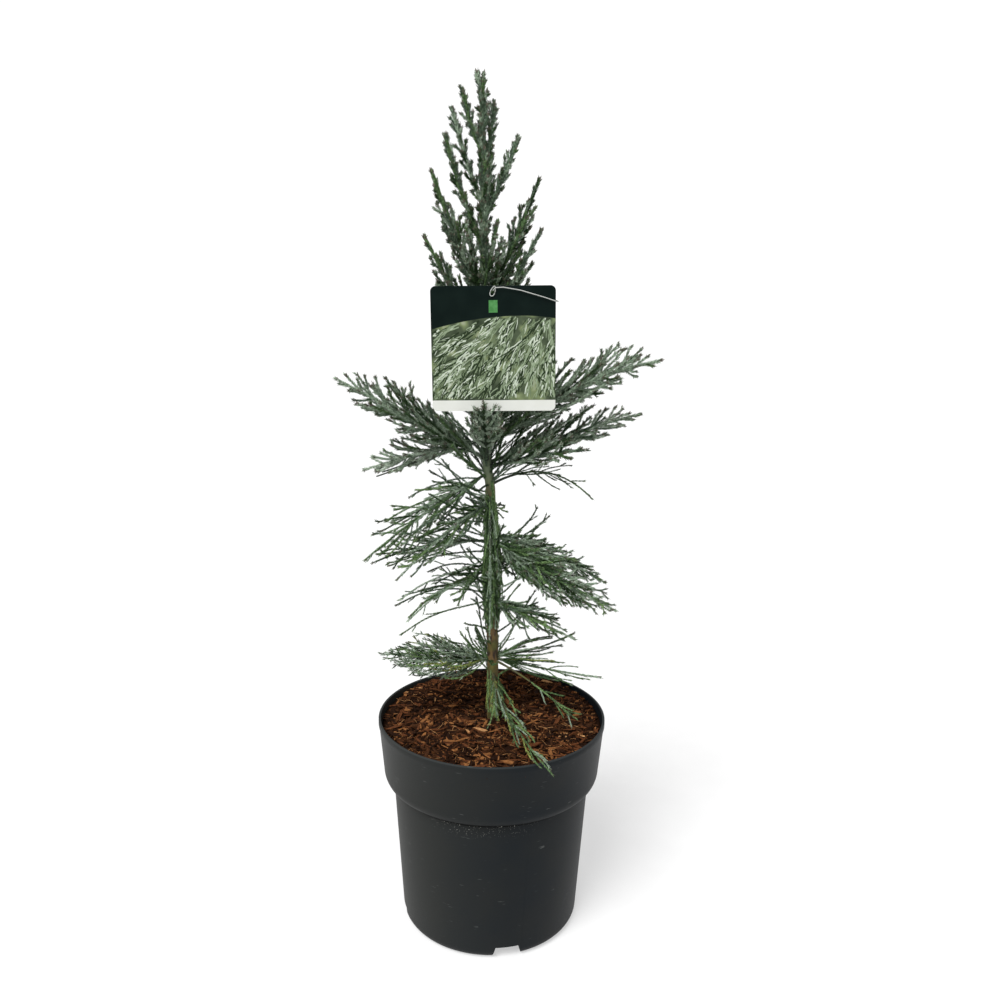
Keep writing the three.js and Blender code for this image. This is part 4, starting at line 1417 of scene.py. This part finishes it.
def make_chips(radius, top, rng):
    """Bark chips as thin plates of uneven outline, strewn flat."""
    count, sides = CHIPS["count"], CHIPS["corners"]
    length = CHIPS["length"] * rng.lognormal(0, CHIPS["length_spread"], count)
    length = np.minimum(length, CHIPS["longest"])
    width = CHIPS["width"] * rng.lognormal(0, CHIPS["width_spread"], count)
    width = np.minimum(width, length * CHIPS["widest"])
    thick = CHIPS["thick"] * rng.uniform(*CHIPS["thickness"], count)
    spots, reach = scattered(count, radius - CHIPS["wall_gap"], rng)
    patches = [noise.noise(Vector((*(spot * FRESH["patches"]), FRESH["layer"]))) for spot in spots]
    lean = patches - spots[:, 1] / radius * FRESH["front"]
    fresh = lean + rng.normal(0, FRESH["stray"], count) > FRESH["above"]
    length[fresh] = np.minimum(length[fresh] * FRESH["longer"], CHIPS["longest"])
    width[fresh] *= FRESH["wider"]
    spots *= np.minimum(1, (radius - length * CHIPS["end_gap"]) / np.maximum(reach, 1))[:, None]
    level = soil_height(reach, spots[:, 1], radius, top) + rng.uniform(*CHIPS["level"], count)
    turn = rng.uniform(0, math.pi, count)
    tilt = rng.normal(0, CHIPS["tilt"], count)
    roll = rng.normal(0, CHIPS["roll"], count)
    along = np.stack([np.cos(turn) * np.cos(tilt), np.sin(turn) * np.cos(tilt), np.sin(tilt)], 1)
    across, up = side_ways(along)
    wide = across * np.cos(roll)[:, None] + up * np.sin(roll)[:, None]
    high = np.cross(wide, along)
    angle = turns(sides) + rng.uniform(-CHIPS["skew"], CHIPS["skew"], (count, sides))
    far = np.cos(angle) * rng.uniform(*CHIPS["far"], (count, sides)) * length[:, None] / 2
    out = np.sin(angle) * rng.uniform(*CHIPS["out"], (count, sides)) * width[:, None] / 2
    flat = far[..., None] * along[:, None] + out[..., None] * wide[:, None]
    middle = np.column_stack([spots, level])[:, None]
    lift = high[:, None] * thick[:, None, None] / 2
    corners = np.concatenate([middle + flat - lift, middle + flat * CHIPS["upper"] + lift], 1)
    pattern = prism([(0, 0)] * sides, 1)[1]
    tints = rng.choice(len(CHIP_SHARES), count, p=CHIP_SHARES)
    tints[fresh] = rng.choice(len(FRESH_SHARES), fresh.sum(), p=FRESH_SHARES)
    picks = np.repeat(tints, len(pattern))
    faces = repeated(pattern, 2 * sides, count)
    chips = make_piece("bark_chips", corners.reshape(-1, 3), faces, chip_materials, picks, smooth=False)
    settle(chips)


def make_fibres(radius, top, rng):
    """Loose fibres that lie on the chips."""
    parts = []
    for spot, reach in zip(*scattered(FIBRES["count"], radius - FIBRES["wall_gap"], rng)):
        start = np.append(spot, soil_height(reach, spot[1], radius, top) + rng.uniform(*FIBRES["level"]))
        turn = rng.uniform(0, 2 * math.pi)
        heading = np.array([math.cos(turn), math.sin(turn), rng.normal(0, FIBRES["rise"])])
        bend = np.array([*rng.normal(0, FIBRES["bend"], 2), FIBRES["droop"]])
        length = FIBRES["length"] * rng.uniform(*FIBRES["lengths"])
        line = grown_line(start, heading, length, bend, FIBRES["sway"], rng)
        corners, faces = tube(line, np.full(len(line), FIBRES["radius"]), FIBRES["sides"])
        parts.append((corners, faces, rng.choice(FIBRES["tints"])))
    settle(joined_piece("soil_fibres", parts, chip_materials))


# ---- Hang label and its loop ----

LABEL = {
    "size": 108, "corner": 4.5, "corner_steps": 8, "thick": 0.7, "turn": 0.02, "hole": 2.2, "hole_drop": 4.6,
    "strip": 9.5}
# How deep the header is at the left, at its shallowest and at the right, and the points of its lower edge
HEADER = {"left": 37, "least": 25.5, "least_at": 25, "right": 28, "points": 33}
MARK = {"wide": 7.6, "tall": 10.5, "drop": 17.5, "proud": 0.08}
# The print's fronds: where their stems start across the label and up it, their heading and how it turns over
# the label, how the stems curl and how long and wide they are, the steps between their twigs, how far those
# stand off and how long they are, how much of a stem's width is left at its tip, and how proud the ink is
FRONDS = {
    "count": 130, "across": (-50, 62), "up": (-30, 40), "heading": (-2.3, 0.16), "turned": 0.0095,
    "slant": 0.4, "curl": (0.02, 0.02), "length": (20, 80), "width": (0.6, 1.7), "step": 3,
    "angle": (0.25, 0.5), "twig": (4, 11), "bend": 0.25, "tip": 0.45, "proud": (0.02, 0.1)}
FROND_SHARES = (0.22, 0.26, 0.24, 0.28)
# How far the fronds stay from the label's sides, and from the header
MARGIN = {"sides": 0.6, "header": 0.4}
# The punch that makes the label's hole
PUNCH = {"sides": 32, "length": 4}
# The loop's strand, and the small ring of its end: half its width and its height, how much narrower it is at
# the top, how far it leans, in radians, and how far it stands out
LOOP = {
    "radius": 0.42, "sides": 8, "ring": (1.9, 4.4), "ring_points": 29, "drop": 0.3, "lean": 0.35,
    "proud": 1.3}
# The loop's route from the hole: through it, round the trunk and back
LOOP_ROUTE = [
    (0, 3, 0.4), (0, -0.6, 0.4), (2, -2.6, 3), (9, -2.6, 3.4), (24, -2.2, 1), (45, -2.2, -4.8), (55, -2, -8),
    (56.5, 1.5, -8), (50, 9, -5.5), (28, 34, 0), (0, 53, 2), (-6.5, 56.8, 3), (-12.5, 51, 3), (-7.5, 28, 3),
    (-1.5, 5, 2)]


def way(angle):
    return np.array([math.cos(angle), math.sin(angle)])


def header_edge(x):
    """The height of the header's curved lower edge above the label's middle."""
    half = LABEL["size"] / 2
    side, end = ("left", -half) if x < HEADER["least_at"] else ("right", half)
    rise = ((x - HEADER["least_at"]) / (end - HEADER["least_at"])) ** 2
    return half - HEADER["least"] - (HEADER[side] - HEADER["least"]) * rise


def corner_arc(x, z, first):
    """Points of a label corner, anticlockwise from the angle first."""
    middle = (LABEL["size"] / 2 - LABEL["corner"]) * np.array([x, z])
    angles = first + np.linspace(0, math.pi / 2, LABEL["corner_steps"] + 1)
    return [tuple(middle + LABEL["corner"] * way(angle)) for angle in angles]


def flat_piece(name, fields, outline, thick, materials):
    """A thin plate in X and Z whose front shows fields, each a list of points and a material number. Its back
    and its edge have the last material."""
    form = bmesh.new()
    known = {}

    def corner(point, y):
        key = (round(point[0], 4), round(point[1], 4), y)
        if key not in known:
            known[key] = form.verts.new((point[0] * MM, y * MM, point[1] * MM))
        return known[key]

    def face(corners, material):
        form.faces.new([corner(*place) for place in corners]).material_index = material

    front, rear, last = -thick / 2, thick / 2, len(materials) - 1
    for points, material in fields:
        face([(point, front) for point in points], material)
    face([(point, rear) for point in reversed(outline)], last)
    for point, after in zip(outline, outline[1:] + outline[:1]):
        face([(after, front), (point, front), (point, rear), (after, rear)], last)
    bmesh.ops.recalc_face_normals(form, faces=form.faces)
    mesh = bpy.data.meshes.new(name)
    form.to_mesh(mesh)
    form.free()
    for material in materials:
        mesh.materials.append(material)
    return new_object(name, mesh)


def stand_label(piece, y=0.0):
    low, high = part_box("label")
    piece.data.transform(Matrix.Rotation(-LABEL["turn"], 4, "Y"))
    piece.data.transform(Matrix.Translation((low + high) / 2 + Vector((0, y * MM, 0))))


def make_label():
    """The plate with its printed fields and hole, and a plain green mark on its header."""
    half = LABEL["size"] / 2
    strip = -half + LABEL["strip"]
    edge = [(x, header_edge(x)) for x in np.linspace(half, -half, HEADER["points"])]
    top = corner_arc(1, 1, 0) + corner_arc(-1, 1, math.pi / 2)
    foot = corner_arc(-1, -1, math.pi) + corner_arc(1, -1, math.pi * 1.5)
    header = top + edge[::-1]
    picture = edge + [(-half, strip), (half, strip)]
    bare = [(-half, strip)] + foot + [(half, strip)]
    outline = top + [edge[-1], (-half, strip)] + foot + [(half, strip), edge[0]]
    plate = flat_piece("hang_label", [(header, 0), (picture, 1), (bare, 2)], outline, LABEL["thick"],
                       [label_header, label_picture, label_paper, label_paper])
    hole = [(x, z + half - LABEL["hole_drop"]) for x, z in circle(LABEL["hole"], PUNCH["sides"])]
    corners, faces = prism(hole, PUNCH["length"])
    corners[:, 1] -= PUNCH["length"] / 2
    combine(plate, make_piece("punch", corners, faces, []), "DIFFERENCE")
    stand_label(plate)
    settle(plate, ["label"])
    wide, tall = MARK["wide"] / 2, MARK["tall"] / 2
    middle = half - MARK["drop"]
    block = [(-wide, middle - tall), (wide, middle - tall), (wide, middle + tall), (-wide, middle + tall)]
    mark = flat_piece("label_mark", [(block, 0)], block, MARK["proud"], [label_green])
    stand_label(mark, -LABEL["thick"] / 2)
    settle(mark)


def strand(name, points):
    """A piece of the loop's thin round plastic."""
    corners, faces = tube(points, np.full(len(points), LOOP["radius"]), LOOP["sides"])
    return make_piece(name, corners, faces, [loop_plastic])


def make_loop():
    """The loop, and the small ring of its end that hangs in front of the hole."""
    low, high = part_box("label")
    rise = LABEL["size"] / 2 - LABEL["hole_drop"]
    hole = np.array((low + high) / 2 / MM) + rise * (Z - X * math.sin(LABEL["turn"]))
    route = hole + np.array(LOOP_ROUTE)
    line = np.zeros((2 * len(route) - 2, 3))
    line[::2] = route[:-1]
    line[1::2] = (route[:-1] + route[1:]) / 2
    settle(strand("label_strand", line), ["label_loop"])
    wide, tall = LOOP["ring"]
    turn = np.linspace(-math.pi / 2, 1.5 * math.pi, LOOP["ring_points"])
    across, up = wide * np.cos(turn) * (1 - LOOP["drop"] * np.sin(turn)), tall * np.sin(turn)
    cos, sin = way(LOOP["lean"])
    ring = np.stack([across * cos + up * sin, 0 * up - LOOP["proud"], up * cos - across * sin], 1)
    settle(strand("label_strand_ring", ring + hole))


def in_picture(point):
    half = LABEL["size"] / 2 - MARGIN["sides"]
    x, z = point
    return abs(x) < half and -half + LABEL["strip"] < z < header_edge(x) - MARGIN["header"]


def frond_lines(rng):
    """The print's fronds as flat lines of points (x, z): a curved stem each, with twigs to both sides."""
    lines = []
    for _ in range(FRONDS["count"]):
        stem = np.array([rng.uniform(*FRONDS["across"]), rng.uniform(*FRONDS["up"])])
        angle = rng.normal(*FRONDS["heading"]) + FRONDS["turned"] * (stem[0] - FRONDS["slant"] * stem[1])
        points, turn = [stem], rng.normal(*FRONDS["curl"])
        for _step in range(int(rng.uniform(*FRONDS["length"]) / FRONDS["step"])):
            angle += turn
            points.append(points[-1] + FRONDS["step"] * way(angle))
            side = 1 if len(points) % 2 else -1
            out = angle + side * rng.uniform(*FRONDS["angle"])
            half = rng.uniform(*FRONDS["twig"]) / 2
            first = points[-1] + way(out) * half
            lines.append([points[-1], first, first + way(out - side * FRONDS["bend"]) * half])
        lines.append(points)
    return lines


def make_fronds():
    """The fronds as flat strips of ink that stand just proud of the label's picture."""
    rng = seeded(SEEDS["fronds"])
    corners, faces, picks = [], [], []
    for points in frond_lines(rng):
        points = np.array(points)
        ways = units(np.gradient(points, axis=0))
        across = np.stack([-ways[:, 1], ways[:, 0]], 1) * np.linspace(1, FRONDS["tip"], len(points))[:, None]
        across *= rng.uniform(*FRONDS["width"]) / 2
        lift = -LABEL["thick"] / 2 - rng.uniform(*FRONDS["proud"])
        tint = rng.choice(len(FROND_TINTS), p=FROND_SHARES)
        for k in range(len(points) - 1):
            if in_picture(points[k]) and in_picture(points[k + 1]):
                faces.append(np.arange(4) + len(corners))
                picks.append(tint)
                for spot, side in ((k, 1), (k, -1), (k + 1, -1), (k + 1, 1)):
                    x, z = points[spot] + across[spot] * side
                    corners.append((x, lift, z))
    fronds = make_piece("label_fronds", corners, faces, frond_materials, picks, smooth=False)
    stand_label(fronds)
    settle(fronds)


# ---- Floor ----

FLOOR = {"colour": (0.42, 0.42, 0.42), "blotch": (0.44, 0.44, 0.44), "glow": 0.5, "reach": 90000, "sides": 64}


def make_floor():
    """A wide white floor that glows a little, so that it meets the sky without an edge."""
    material, tree, shader = new_material("floor_white")
    feed(tree, shader, {
        "Base Color": mottled(tree, FLOOR["colour"], FLOOR["blotch"], scale=22.0, amount=0.6)["Colour"],
        "Roughness": 0.9, "Specular IOR Level": 0, "Emission Color": WHITE,
        "Emission Strength": FLOOR["glow"]})
    rim = [(x, y, 0) for x, y in circle(FLOOR["reach"], FLOOR["sides"])]
    return make_piece("floor", rim, [range(FLOOR["sides"])], [material])


place_camera()
place_studio()
limbs = make_plant()
make_trunk()
make_limbs(limbs)
make_pot()
make_soil()
make_label()
make_fronds()
make_loop()
floor = make_floor()
